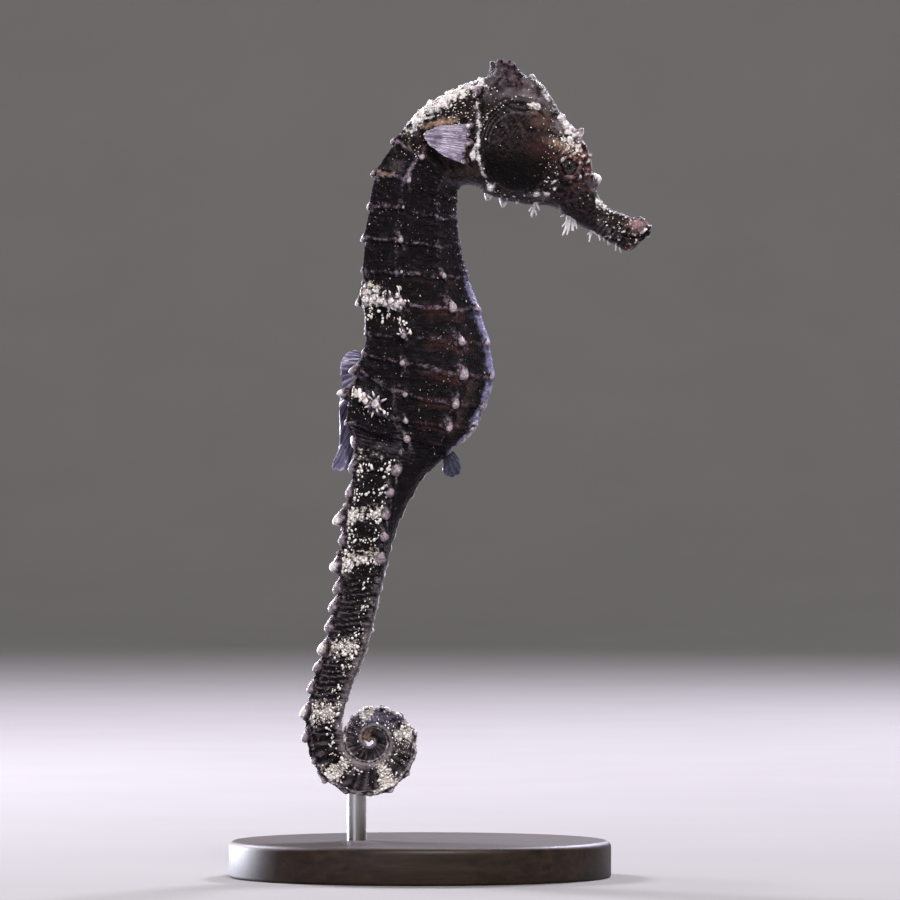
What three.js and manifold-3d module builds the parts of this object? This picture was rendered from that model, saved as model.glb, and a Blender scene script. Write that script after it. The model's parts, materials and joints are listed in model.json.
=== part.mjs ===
// A life-size still model of a male lined seahorse, coiled at the tail, on a plain display stand.
// Millimetres, +Z up. +X is the way the snout points and +Y is the animal's left side.
// The origin is the centre of the underside of the stand's base.
import * as THREE from 'three';
import { LoftGeometry } from 'three/addons/geometries/LoftGeometry.js';
import { mergeVertices } from 'three/addons/utils/BufferGeometryUtils.js';
import Module from 'manifold-3d';

const wasm = await Module();
wasm.setup();

// ---------- driving dimensions ----------

const GAP = 0.3; // clear space between touching pieces
const SAME_POINT = 1e-4; // points closer than this are one
const FIN_THICKNESS = 0.55;
const FIN_CURVE_STEPS = 3; // straight steps between two points of a fin's outline
const RIGHT = -1;
const LEFT = 1;
const SIDES = { left: LEFT, right: RIGHT };

// The body is a row of cross sections. Each station is
// [ring number, back x, back z, belly x, belly z, half width].
// Ring 0 is the shoulder, 1 to 11 are the trunk rings, 12 and up are the tail rings.
const GILL = -2;
const BODY_STATIONS = [
  [GILL, 6.8, 107.7, 9.0, 92.9, 4.2],
  [-1, 3.3, 106.0, 7.4, 93.9, 4.1],
  [0, 0.0, 104.0, 6.1, 94.1, 4.0],
  [1, -3.3, 99.8, 5.2, 93.5, 3.9],
  [2, -5.8, 95.5, 5.0, 91.9, 3.9],
  [4, -7.3, 86.8, 5.4, 86.1, 4.0],
  [6, -7.5, 78.3, 7.5, 78.0, 4.5],
  [7, -7.1, 73.8, 9.0, 73.2, 4.9],
  [8, -8.0, 69.3, 9.7, 68.1, 5.2],
  [9, -9.4, 65.3, 8.6, 64.2, 5.1],
  [10, -9.7, 61.9, 6.8, 60.6, 4.7],
  [11, -9.0, 59.3, 4.4, 58.2, 4.1],
  [12, -8.6, 57.2, 2.7, 56.4, 3.7],
  [14, -9.2, 52.1, -1.2, 51.5, 3.1],
  [16, -10.1, 45.8, -3.7, 45.7, 2.8],
  [18, -10.7, 39.3, -5.4, 38.9, 2.6],
  [20, -12.0, 34.0, -6.7, 33.2, 2.4],
  [22, -13.7, 28.4, -8.6, 27.7, 2.25],
  [24, -15.2, 22.4, -10.6, 21.5, 2.15],
];

// The head's stations run from the gills to the lips.
const LIPS = -17;
const NOSE = -11.5;
const HEAD_STATIONS = [
  [LIPS, 31.2, 88.8, 31.0, 87.7, 0.9],
  [-16, 30.1, 89.8, 29.7, 86.4, 1.5],
  [-15, 28.8, 89.9, 27.6, 85.3, 1.7],
  [-13, 26.4, 90.7, 25.5, 86.5, 1.7],
  [-11, 24.4, 92.5, 23.8, 87.6, 2.1],
  [-9, 23.4, 96.8, 21.9, 88.7, 3.0],
  [-8, 22.6, 99.9, 20.6, 89.3, 3.4],
  [-7, 20.3, 101.8, 19.2, 90.3, 3.7],
  [-5, 16.7, 107.4, 16.5, 91.1, 4.3],
  [-3.5, 11.6, 108.4, 12.6, 91.6, 4.5],
];

// The tail's coil is a spiral about this centre. The angle is 0 below the centre and grows
// towards the snout's side. The radii are those of its back and belly at each quarter turn.
const COIL = { x: -6.7, z: 18.5, firstRing: 25, lastRing: 48 };
const COIL_ANGLE = { first: -95, perRing: 21.5, growth: 0.38 };
const COIL_BACK_RADII = [8.49, 7.14, 5.98, 4.42, 3.44, 2.65, 2.2, 1.7, 0.92, 0.6];
const COIL_BELLY_RADII = [3.75, 2.96, 2.52, 2.01, 1.23, 0.84, 0.76, 0.6, 0.3, 0.1];
const COIL_RADII_START = -90;
const QUARTER_TURN = 90;
const COIL_WIDTH_RATIO = 0.45; // half width over depth

// A cross section has seven ridges and lines down each side, from the back to the belly keel.
// Each shape gives [place down the depth, share of the half width] for the middle of the back,
// the upper ridge, the flank, the side ridge, the belly wall, the lower ridge and the belly's edge.
const SECTION_SHAPES = [
  { ring: LIPS, lines: [[0, 0], [0.03, 0.5], [0.14, 0.82], [0.35, 1], [0.6, 1], [0.82, 0.8], [0.95, 0.48]] },
  { ring: -12, lines: [[0, 0], [0.03, 0.5], [0.14, 0.82], [0.35, 1], [0.6, 1], [0.82, 0.8], [0.95, 0.48]] },
  { ring: -6, lines: [[0, 0], [0.01, 0.4], [0.15, 0.66], [0.36, 0.88], [0.6, 1], [0.82, 0.82], [0.95, 0.45]] },
  { ring: GILL, lines: [[0, 0], [0.01, 0.42], [0.15, 0.7], [0.36, 0.94], [0.6, 1], [0.82, 0.78], [0.95, 0.4]] },
  { ring: 1, lines: [[0.015, 0], [0, 0.45], [0.17, 0.74], [0.33, 1], [0.55, 0.93], [0.77, 0.76], [0.92, 0.4]] },
  { ring: 9, lines: [[0.02, 0], [0, 0.45], [0.17, 0.74], [0.33, 1], [0.55, 0.95], [0.78, 0.76], [0.92, 0.36]] },
  { ring: 11, lines: [[0.03, 0], [0, 0.6], [0.22, 0.8], [0.48, 1], [0.66, 0.9], [0.84, 0.66], [0.95, 0.36]] },
  { ring: 14, lines: [[0.04, 0], [0, 0.76], [0.28, 0.84], [0.63, 1], [0.78, 0.86], [0.91, 0.6], [0.97, 0.32]] },
  { ring: 17, lines: [[0.05, 0], [0, 0.84], [0.38, 0.84], [0.86, 1], [0.93, 0.84], [0.97, 0.6], [0.99, 0.3]] },
  { ring: 30, lines: [[0.05, 0], [0, 0.86], [0.38, 0.84], [0.9, 0.92], [0.95, 0.8], [0.98, 0.56], [0.99, 0.28]] },
];
const UPPER_RIDGE = 1;
const SIDE_RIDGE = 3;
const LOWER_RIDGE = 5;
const LINE_COUNT = 7;

// Every ring has a low groove before and after it and a spine on each ridge.
const GROOVE = 0.5; // part of a ring from its crest to the groove
const SPINE_FOOT = 0.26; // part of a ring from a spine's tip to its foot
const SPINED_RINGS = { first: 1, last: 36 };
const GROOVE_DEPTH = 0.025; // share of the section's size
const UPPER_SPINES = { trunk: 0.6, tail: 1.0 };
const LONG_SPINES = { 6: 0.9, 8: 1.6, 9: 1.7, 15: 1.7, 17: 1.5, 21: 1.3, 24: 1.2, 27: 1.1, 30: 1.0, 33: 0.6, 36: 0.4 };
const SHORT_SPINES = { 7: 0.3, 10: 0.6, 11: 0.2, 12: 0.3 };
const SIDE_SPINE = 0.5;
const THINNEST_TAIL_SPINE = 0.4; // share of the usual height left at the end of the taper
const LOWER_SPINE = { height: 0.5, lastRing: 11 };
const FIRST_TAIL_RING = 12;
const SPINE_TAPER = { fromRing: 22, toRing: 40 };

// Lengths of the body that are separate pieces, each cut in a groove between two rings.
const LENGTHS = {
  neck: [GILL, 1.5],
  trunk_upper: [1.5, 5.5],
  trunk_lower: [5.5, 11.5],
  tail_upper: [17.5, 21.5],
  tail_middle: [21.5, 25.5],
  tail_coil_1: [25.5, 29.5],
  tail_coil_2: [29.5, 33.5],
  tail_coil_3: [33.5, 37.5],
  tail_coil_4: [37.5, 41.5],
  tail_tip: [41.5, COIL.lastRing],
};
const POUCH_LENGTH = [11.5, 17.5];

// The eye stands in a low turret of skin on each side of the head.
const EYE = { x: 20.2, z: 96.4, y: 2.5, radius: 1.5 };
const TURRET_PROFILE = [[0, 1.2], [2.4, 1.2], [2.4, 2.6], [2.15, 3.2], [1.95, 3.5], [0, 3.5]];
const EYE_SEGMENTS = 16;

// Spines and skin threads of the head: [root x, root z, tip x, tip z, root radius, tip radius, side y].
const HEAD_SPINES = {
  nose: [23.0, 94.0, 24.7, 94.9, 0.9, 0.3, 0],
  brow_right: [20.9, 99.6, 22.0, 101.8, 0.8, 0.3, -1.6],
  brow_left: [20.9, 99.6, 22.0, 101.8, 0.8, 0.3, 1.6],
  crest_knob: [18.6, 102.4, 19.7, 103.4, 0.6, 0.3, 0],
  chin_front: [11.7, 92.6, 11.3, 91.2, 0.6, 0.3, 0],
  chin_rear: [9.9, 93.6, 9.1, 92.2, 0.6, 0.3, 0],
  thread_rear: [15.6, 92.4, 15.1, 89.6, 0.4, 0.26, 0],
  thread_middle: [20.4, 91.3, 20.4, 87.4, 0.45, 0.3, 0],
  thread_front: [22.6, 89.4, 23.1, 86.6, 0.36, 0.26, 0],
};
const JAW_THREAD = [26.5, 87.4, 26.9, 85.1, 0.4, 0.28, 0];
const SPINE_SIDES = 8;

// The coronet is a low flared crown with five points and hollow sides between them.
const CORONET = { points: 5, sides: 20, height: 2.6 };
const CORONET_RINGS = [
  // [share of the height, centre x, half length along x, half width along y, depth of the hollows]
  [0, 11.8, 2.4, 1.9, 0.06],
  [0.5, 11.55, 2.05, 1.6, 0.16],
  [0.85, 11.45, 1.95, 1.9, 0.24],
  [1, 11.4, 1.8, 1.9, 0.26],
];
const CORONET_BASE = 108.75;
const CORONET_RIM_DIP = 0.5;

// Fin outlines, [x, z] in the plane of the fin.
const DORSAL_FIN = {
  root: [[-7.9, 72.0], [-8.5, 70.4], [-9.9, 67.4], [-10.2, 63.5], [-9.9, 60.3], [-9.1, 57.8]],
  edge: [[-9.8, 55.2], [-12.4, 55.6], [-11.5, 58.6], [-11.3, 62.5], [-11.5, 68.0], [-9.9, 70.6], [-8.6, 71.9]],
};
const ANAL_FIN = {
  root: [[3.4, 56.75], [4.4, 57.65]],
  edge: [[5.4, 56.6], [5.4, 55.2], [3.9, 54.3], [3.0, 55.1]],
};
const PECTORAL_FIN = {
  root: [[5.8, 96.8], [6.1, 99.5], [5.9, 102.2]],
  edge: [[3.9, 102.4], [1.8, 101.6], [0.3, 100.4], [2.2, 98.7], [3.9, 97.6]],
  y: 4.45,
  splay: 0.12,
};

const STAND = { radius: 26, thickness: 5, bevel: 0.8, sides: 48 };
const ROD = { x: -8.6, radius: 1.3, top: 13.0, clearance: 0.3, sides: 20 };

const SKIN = { color: 0x2c2526, roughness: 0.55, metalness: 0 };
const POUCH_SKIN = { color: 0x35302f, roughness: 0.5, metalness: 0 };
const FIN_MEMBRANE = { color: 0x8d8aa3, roughness: 0.45, metalness: 0 };
const EYE_GLASS = { color: 0x15110f, roughness: 0.15, metalness: 0 };
const STAND_PAINT = { color: 0x1d1e20, roughness: 0.5, metalness: 0 };
const ROD_STEEL = { color: 0xb9bcc0, roughness: 0.3, metalness: 0.9 };

// ---------- the body's rails ----------

// A smooth curve through rows of [key, value...], read at any key.
function readRows(rows, key) {
  let after = rows.findIndex((row) => row[0] >= key);
  if (after < 0) after = rows.length - 1;
  after = Math.max(after, 1);
  const near = [after - 2, after - 1, after, after + 1].map((i) => rows[THREE.MathUtils.clamp(i, 0, rows.length - 1)]);
  const [before, low, high, beyond] = near;
  const span = high[0] - low[0];
  const t = THREE.MathUtils.clamp((key - low[0]) / span, 0, 1);
  return low.slice(1).map((value, i) => {
    const column = i + 1;
    const slopeLow = (high[column] - before[column]) / Math.max(high[0] - before[0], span);
    const slopeHigh = (beyond[column] - low[column]) / Math.max(beyond[0] - low[0], span);
    const t2 = t * t;
    const t3 = t2 * t;
    return (
      value * (2 * t3 - 3 * t2 + 1) +
      high[column] * (3 * t2 - 2 * t3) +
      slopeLow * span * (t3 - 2 * t2 + t) +
      slopeHigh * span * (t3 - t2)
    );
  });
}

function coilAngle(ring) {
  const passed = ring - COIL.firstRing;
  return COIL_ANGLE.first + COIL_ANGLE.perRing * passed + COIL_ANGLE.growth * passed * passed;
}

function coilRadius(radii, angle) {
  const rows = radii.map((radius, i) => [COIL_RADII_START + QUARTER_TURN * i, radius]);
  return readRows(rows, angle)[0];
}

function coilStation(ring) {
  const angle = coilAngle(ring);
  const back = coilRadius(COIL_BACK_RADII, angle);
  const belly = coilRadius(COIL_BELLY_RADII, angle);
  const sine = Math.sin(THREE.MathUtils.degToRad(angle));
  const cosine = Math.cos(THREE.MathUtils.degToRad(angle));
  return [
    COIL.x + back * sine,
    COIL.z - back * cosine,
    COIL.x + belly * sine,
    COIL.z - belly * cosine,
    COIL_WIDTH_RATIO * (back - belly),
  ];
}

const ROWS = [
  ...HEAD_STATIONS,
  ...BODY_STATIONS,
  [COIL.firstRing, ...coilStation(COIL.firstRing)],
  [COIL.firstRing + 1, ...coilStation(COIL.firstRing + 1)],
];

// The back point, belly point, depth and half width of the body at a ring number.
function station(ring) {
  const row = ring < COIL.firstRing ? readRows(ROWS, ring) : coilStation(ring);
  const back = new THREE.Vector3(row[0], 0, row[1]);
  const belly = new THREE.Vector3(row[2], 0, row[3]);
  const down = belly.clone().sub(back);
  const depth = down.length();
  return { back, down: down.normalize(), depth, width: row[4] };
}

// ---------- the cross sections ----------

function sectionLines(ring) {
  const rows = SECTION_SHAPES.map((shape) => [shape.ring, ...shape.lines.flat()]);
  const flat = readRows(rows, THREE.MathUtils.clamp(ring, LIPS, SECTION_SHAPES.at(-1).ring));
  return Array.from({ length: LINE_COUNT }, (_, i) => [flat[2 * i], flat[2 * i + 1]]);
}

function spineHeight(ring, line) {
  if (!Number.isInteger(ring) || ring < SPINED_RINGS.first || ring > SPINED_RINGS.last) return 0;
  const taper = 1 - THREE.MathUtils.smoothstep(ring, SPINE_TAPER.fromRing, SPINE_TAPER.toRing);
  const inTail = ring >= FIRST_TAIL_RING;
  if (line === UPPER_RIDGE) {
    const usual = inTail ? UPPER_SPINES.tail : UPPER_SPINES.trunk;
    return LONG_SPINES[ring] ?? SHORT_SPINES[ring] ?? usual * (inTail ? THREE.MathUtils.lerp(THINNEST_TAIL_SPINE, 1, taper) : 1);
  }
  if (line === SIDE_RIDGE) return SIDE_SPINE * taper;
  if (line === LOWER_RIDGE && ring <= LOWER_SPINE.lastRing) return LOWER_SPINE.height;
  return 0;
}

// One point of a section: down its depth by v and out to one side by w.
function sectionPoint(at, v, w, side, push) {
  const sizeDown = at.depth * (v - 0.5);
  const sizeOut = side * w * at.width;
  const outwards = new THREE.Vector3(0, sizeOut, 0).addScaledVector(at.down, sizeDown);
  const reach = outwards.length();
  const grown = reach > 0 ? (reach * at.scale + push) / reach : 0;
  return at.back.clone().addScaledVector(at.down, at.depth / 2).addScaledVector(outwards, grown);
}

function ringScale(ring) {
  if (ring < 0) return 1;
  const fromCrest = Math.abs(ring - Math.round(ring));
  return 1 - GROOVE_DEPTH * THREE.MathUtils.smoothstep(fromCrest, SPINE_FOOT / 2, GROOVE);
}

// A whole section, or its part between two places down its depth.
function section(ring, { first = 0, last = LINE_COUNT, startTrim = 0, endTrim = 0 } = {}) {
  const at = { ...station(ring), scale: ringScale(ring) };
  const lines = sectionLines(ring).slice(first, last);
  const trims = lines.map((_, i) => (i === 0 ? startTrim : 0) + (i === lines.length - 1 ? endTrim : 0));
  const down = (side) =>
    lines.map(([v, w], i) => sectionPoint(at, v + trims[i] / at.depth, w, side, spineHeight(ring, i + first)));
  const middle = first === 0 ? down(LEFT).slice(0, 1) : [];
  const keel = last === LINE_COUNT ? [sectionPoint(at, 1, 0, LEFT, 0)] : [];
  const skip = first === 0 ? 1 : 0;
  return [...middle, ...down(LEFT).slice(skip), ...keel, ...down(RIGHT).slice(skip).reverse()];
}

// The ring numbers at which a length of body gets a section.
function sectionRings(from, to) {
  const rings = new Set([from, to]);
  for (let crest = Math.floor(from); crest <= Math.ceil(to); crest += 1) {
    const spined = crest >= SPINED_RINGS.first && crest <= SPINED_RINGS.last;
    const steps = spined ? [-SPINE_FOOT, 0, SPINE_FOOT, GROOVE] : [0, GROOVE];
    steps.forEach((step) => rings.add(crest + step));
  }
  return [...rings].filter((ring) => ring >= from && ring <= to).sort((a, b) => a - b);
}

// The way towards higher rings, in the plane of symmetry and square to the section.
function wayAlong(ring) {
  const down = station(ring).down;
  return new THREE.Vector3(down.z, 0, -down.x);
}

function loft(from, to, part, trimStart = GAP / 2, trimEnd = GAP / 2) {
  const rings = sectionRings(from, to);
  const sections = rings.map((ring) => section(ring, part));
  const startWay = wayAlong(from);
  const endWay = wayAlong(to);
  sections[0].forEach((point) => point.addScaledVector(startWay, trimStart));
  sections.at(-1).forEach((point) => point.addScaledVector(endWay, -trimEnd));
  return new LoftGeometry(sections, { capStart: true, capEnd: true });
}

// ---------- joining and cutting ----------

function toSolid(geometry) {
  const bare = new THREE.BufferGeometry();
  const source = geometry.index ? geometry.toNonIndexed() : geometry;
  bare.setAttribute('position', source.getAttribute('position'));
  const merged = mergeVertices(bare, SAME_POINT);
  return new wasm.Manifold(
    new wasm.Mesh({
      numProp: 3,
      vertProperties: new Float32Array(merged.attributes.position.array),
      triVerts: new Uint32Array(merged.index.array),
    }),
  );
}

function toGeometry(solid) {
  const mesh = solid.getMesh();
  const geometry = new THREE.BufferGeometry();
  geometry.setAttribute('position', new THREE.BufferAttribute(new Float32Array(mesh.vertProperties), 3));
  geometry.setIndex(new THREE.BufferAttribute(new Uint32Array(mesh.triVerts), 1));
  return geometry;
}

const join = (...solids) => solids.reduce((sum, solid) => sum.add(solid));

function piece(name, geometry, look, flat = true) {
  const mesh = new THREE.Mesh(geometry, new THREE.MeshStandardMaterial({ ...look, flatShading: flat }));
  mesh.name = name;
  return mesh;
}

// ---------- pieces ----------

// A blunt cone from a root to a tip.
function spineSolid([rootX, rootZ, tipX, tipZ, rootRadius, tipRadius, y]) {
  const root = new THREE.Vector3(rootX, y, rootZ);
  const tip = new THREE.Vector3(tipX, y, tipZ);
  const way = tip.clone().sub(root);
  const cone = new THREE.CylinderGeometry(tipRadius, rootRadius, way.length(), SPINE_SIDES);
  const turn = new THREE.Quaternion().setFromUnitVectors(new THREE.Vector3(0, 1, 0), way.clone().normalize());
  cone.applyQuaternion(turn);
  cone.translate(...root.clone().lerp(tip, 0.5).toArray());
  return toSolid(cone);
}

function eyeBall(side, radius) {
  const ball = new THREE.SphereGeometry(radius, EYE_SEGMENTS, EYE_SEGMENTS / 2);
  return ball.translate(EYE.x, side * EYE.y, EYE.z);
}

function turretSolid(side) {
  const profile = TURRET_PROFILE.map(([radius, height]) => new THREE.Vector2(radius, height));
  const turret = new THREE.LatheGeometry(profile, EYE_SEGMENTS);
  if (side === RIGHT) turret.rotateX(Math.PI);
  return toSolid(turret.translate(EYE.x, 0, EYE.z));
}

function makeHead() {
  let head = toSolid(loft(NOSE, GILL, {}));
  Object.values(HEAD_SPINES).forEach((spine) => {
    head = head.add(spineSolid(spine));
  });
  Object.values(SIDES).forEach((side) => {
    head = head.add(turretSolid(side)).subtract(toSolid(eyeBall(side, EYE.radius + GAP)));
  });
  return piece('head', toGeometry(head), SKIN);
}

function makeSnout() {
  const snout = toSolid(loft(LIPS, NOSE, {}, 0));
  return piece('snout', toGeometry(join(snout, spineSolid(JAW_THREAD))), SKIN);
}

function makeEye(name, side) {
  const eye = new THREE.SphereGeometry(EYE.radius, EYE_SEGMENTS, EYE_SEGMENTS / 2);
  const mesh = piece(name, eye, EYE_GLASS, false);
  mesh.position.set(EYE.x, side * EYE.y, EYE.z);
  return mesh;
}

function makeCoronet() {
  const sections = CORONET_RINGS.map(([share, x, halfLength, halfWidth, hollow]) =>
    Array.from({ length: CORONET.sides }, (_, i) => {
      const angle = (2 * Math.PI * i) / CORONET.sides;
      const lobe = Math.cos(CORONET.points * (angle - Math.PI)); // 1 at a point, -1 in a hollow
      const inwards = (1 - lobe) / 2;
      const reach = 1 - hollow * inwards;
      const dip = share === 1 ? CORONET_RIM_DIP * inwards : 0;
      const along = halfLength * reach * Math.cos(angle);
      return new THREE.Vector3(x + along, halfWidth * reach * Math.sin(angle), share * CORONET.height - dip);
    }),
  );
  const mesh = piece('coronet', new LoftGeometry(sections, { capStart: true, capEnd: true }), SKIN);
  mesh.position.z = CORONET_BASE;
  return mesh;
}

// A thin plate with a straight or curved root and a smooth free edge, standing in the XZ plane.
function finGeometry({ root, edge }) {
  const toPoint = ([x, z]) => new THREE.Vector2(x, z);
  const outline = new THREE.Shape();
  outline.moveTo(...root[0]);
  outline.splineThru(root.slice(1).map(toPoint));
  outline.splineThru(edge.map(toPoint));
  outline.lineTo(...root[0]);
  const plate = new THREE.ExtrudeGeometry(outline, {
    depth: FIN_THICKNESS,
    bevelEnabled: false,
    curveSegments: FIN_CURVE_STEPS,
  });
  plate.translate(0, 0, -FIN_THICKNESS / 2);
  return plate.rotateX(Math.PI / 2);
}

function makePectoralFin(name, side) {
  const pivot = new THREE.Group();
  const [rootX, rootZ] = PECTORAL_FIN.root[1];
  const fin = finGeometry(PECTORAL_FIN).translate(-rootX, 0, -rootZ);
  pivot.position.set(rootX, side * PECTORAL_FIN.y, rootZ);
  pivot.rotation.z = -side * PECTORAL_FIN.splay;
  pivot.add(piece(name, fin, FIN_MEMBRANE));
  return pivot;
}

function makeStandBase() {
  const { radius, thickness, bevel, sides } = STAND;
  const profile = [[0, 0], [radius, 0], [radius, thickness - bevel], [radius - bevel, thickness], [0, thickness]];
  const base = new THREE.LatheGeometry(profile.map(([r, z]) => new THREE.Vector2(r, z)), sides);
  const mesh = piece('stand_base', base, STAND_PAINT);
  mesh.rotation.x = Math.PI / 2;
  return mesh;
}

function rodCylinder(radius, bottom, top) {
  return new THREE.CylinderGeometry(radius, radius, top - bottom, ROD.sides)
    .rotateX(Math.PI / 2)
    .translate(ROD.x, 0, (top + bottom) / 2);
}

function makeRod() {
  return piece('stand_rod', rodCylinder(ROD.radius, STAND.thickness + GAP, ROD.top), ROD_STEEL);
}

// ---------- the whole animal on its stand ----------

const seahorse = new THREE.Group();
seahorse.name = 'seahorse_on_stand';

const stand = new THREE.Group();
stand.add(makeStandBase(), makeRod());

const animal = new THREE.Group();
animal.add(makeHead(), makeSnout(), makeCoronet());
Object.entries(SIDES).forEach(([name, side]) => {
  animal.add(makeEye(`eye_${name}`, side), makePectoralFin(`pectoral_fin_${name}`, side));
});

const rodSocket = toSolid(rodCylinder(ROD.radius + ROD.clearance, STAND.thickness, ROD.top + ROD.clearance));
Object.entries(LENGTHS).forEach(([name, [from, to]]) => {
  const endTrim = to === COIL.lastRing ? 0 : GAP / 2;
  const solid = toSolid(loft(from, to, {}, GAP / 2, endTrim)).subtract(rodSocket);
  animal.add(piece(name, toGeometry(solid), SKIN));
});

// The tail's base is the part behind the side ridges; the brood pouch fills the front.
const [pouchTop, pouchFoot] = POUCH_LENGTH;
const tailBase = loft(pouchTop, pouchFoot, { last: SIDE_RIDGE + 1, endTrim: -GAP / 2 });
const pouch = loft(pouchTop, pouchFoot, { first: SIDE_RIDGE, startTrim: GAP / 2 });
animal.add(piece('tail_base', tailBase, SKIN), piece('brood_pouch', pouch, POUCH_SKIN));
animal.add(piece('dorsal_fin', finGeometry(DORSAL_FIN), FIN_MEMBRANE));
animal.add(piece('anal_fin', finGeometry(ANAL_FIN), FIN_MEMBRANE));

seahorse.add(stand, animal);

export default seahorse;
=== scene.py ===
import json
import math
import bpy
import numpy as np
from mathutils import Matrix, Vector, noise

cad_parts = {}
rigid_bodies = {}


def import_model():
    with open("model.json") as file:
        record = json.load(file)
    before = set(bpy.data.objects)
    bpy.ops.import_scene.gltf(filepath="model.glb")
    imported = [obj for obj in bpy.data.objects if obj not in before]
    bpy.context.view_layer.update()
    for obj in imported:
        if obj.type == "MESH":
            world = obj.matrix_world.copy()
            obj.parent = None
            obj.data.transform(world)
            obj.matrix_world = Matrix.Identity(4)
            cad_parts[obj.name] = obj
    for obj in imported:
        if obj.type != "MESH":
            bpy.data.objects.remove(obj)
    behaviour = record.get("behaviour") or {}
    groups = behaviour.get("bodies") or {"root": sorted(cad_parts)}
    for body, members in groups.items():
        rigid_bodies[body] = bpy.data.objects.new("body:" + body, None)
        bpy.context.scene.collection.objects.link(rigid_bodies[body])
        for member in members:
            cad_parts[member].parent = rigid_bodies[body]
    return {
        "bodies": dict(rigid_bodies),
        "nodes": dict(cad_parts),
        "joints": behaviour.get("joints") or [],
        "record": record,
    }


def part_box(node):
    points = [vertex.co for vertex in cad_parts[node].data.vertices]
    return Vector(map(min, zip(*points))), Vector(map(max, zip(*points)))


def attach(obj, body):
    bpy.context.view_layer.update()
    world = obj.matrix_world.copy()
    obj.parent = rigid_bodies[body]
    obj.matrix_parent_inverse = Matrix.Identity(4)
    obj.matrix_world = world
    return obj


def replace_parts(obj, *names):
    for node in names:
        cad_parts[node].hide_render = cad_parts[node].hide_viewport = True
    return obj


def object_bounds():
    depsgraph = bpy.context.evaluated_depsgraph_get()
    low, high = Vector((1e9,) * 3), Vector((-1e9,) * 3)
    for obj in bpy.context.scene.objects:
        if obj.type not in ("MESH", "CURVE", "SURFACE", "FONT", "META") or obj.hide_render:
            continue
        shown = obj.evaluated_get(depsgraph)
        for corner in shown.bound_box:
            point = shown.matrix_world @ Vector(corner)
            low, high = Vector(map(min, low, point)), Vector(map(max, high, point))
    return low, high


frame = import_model()
cad_low, cad_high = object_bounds()

# A life-size still model of a male lined seahorse on a plain display stand.
# +X is the way the snout points, +Y is the animal's left, +Z is up.
# The tables below are in millimetres, in the CAD's own frame.

MM = 0.001
chance = np.random.default_rng(48)

# ---------- the body's cross sections ----------

# [ring, back x, back z, belly x, belly z, half width]. The head's rings run below zero from the
# gills at -2 to the lips at -17, 1 to 11 are the trunk's rings, and 12 and up are the tail's.
STATIONS = [
    [-17, 31.15, 88.6, 30.75, 87.3, 0.95], [-16.5, 30.75, 89.35, 29.9, 86.3, 1.35],
    [-16, 30.2, 89.75, 29.2, 85.5, 1.6], [-15.5, 29.5, 89.85, 28.3, 85.15, 1.72],
    [-15, 28.7, 89.75, 27.6, 85.25, 1.72], [-14, 27.4, 90.2, 26.5, 85.95, 1.68],
    [-13, 26.2, 90.65, 25.4, 86.45, 1.72], [-12, 25.1, 91.35, 24.6, 87.1, 1.85],
    [-11, 24.3, 92.4, 23.8, 87.6, 2.1], [-10, 23.9, 94.4, 22.9, 88.0, 2.55],
    [-9, 23.35, 96.9, 21.9, 88.5, 3.0], [-8, 22.55, 99.6, 20.6, 89.35, 3.4],
    [-7, 20.6, 101.9, 19.2, 90.2, 3.7], [-6, 18.5, 104.6, 18.0, 91.1, 4.05],
    [-5, 16.7, 107.4, 16.5, 91.35, 4.3], [-4, 13.9, 108.7, 14.3, 91.5, 4.5],
    [-3, 9.6, 108.7, 11.4, 92.1, 4.42], [-2, 6.8, 107.7, 9.0, 92.9, 4.2], [-1, 3.3, 106.0, 7.4, 93.9, 4.1],
    [0, 0.0, 104.0, 6.1, 94.1, 4.0], [1, -3.3, 99.8, 5.2, 93.5, 3.9], [2, -5.8, 95.5, 5.0, 91.9, 3.9],
    [3, -6.7, 91.1, 5.0, 89.6, 3.95], [4, -7.3, 86.8, 5.4, 86.1, 4.0], [5, -7.5, 82.5, 6.1, 82.3, 4.2],
    [6, -7.5, 78.3, 7.5, 78.0, 4.5], [7, -7.1, 73.8, 9.0, 73.2, 4.9], [8, -8.0, 69.3, 9.7, 68.1, 5.2],
    [9, -9.4, 65.3, 8.6, 64.2, 5.1], [10, -9.7, 61.9, 6.8, 60.6, 4.7], [11, -9.0, 59.3, 4.4, 58.2, 4.1],
    [12, -8.6, 57.2, 2.7, 56.4, 3.7], [13, -8.8, 55.1, 0.5, 54.4, 3.35], [14, -9.2, 52.1, -1.2, 51.5, 3.1],
    [15, -9.9, 48.9, -2.6, 48.8, 2.95], [16, -10.1, 45.8, -3.7, 45.7, 2.8],
    [17, -10.8, 42.3, -4.6, 42.1, 2.7], [18, -10.7, 39.3, -5.4, 38.9, 2.6],
    [19, -11.4, 36.7, -6.0, 36.0, 2.5], [20, -12.0, 34.0, -6.7, 33.2, 2.4],
    [21, -12.6, 31.0, -7.5, 30.4, 2.32], [22, -13.7, 28.4, -8.6, 27.7, 2.25],
    [23, -14.4, 25.7, -9.7, 24.7, 2.2], [24, -15.2, 22.4, -10.6, 21.5, 2.15],
]

# The tail's coil is a spiral. Its angle is 0 below the centre and grows towards the snout's side,
# and the radii of its back and belly are read at each quarter turn from -90 degrees.
COIL_X, COIL_Z, COIL_START, COIL_END = -6.7, 18.5, 25, 48
COIL_ANGLE = (-95, 21.5, 0.38)
COIL_BACK = [8.49, 7.14, 5.98, 4.46, 3.58, 2.83, 2.36, 1.88, 1.3, 0.7]
COIL_BELLY = [3.68, 2.9, 2.43, 1.88, 1.02, 0.62, 0.36, 0.14, 0.02, 0.01]
COIL_WIDTH_RATIO = 0.45

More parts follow.
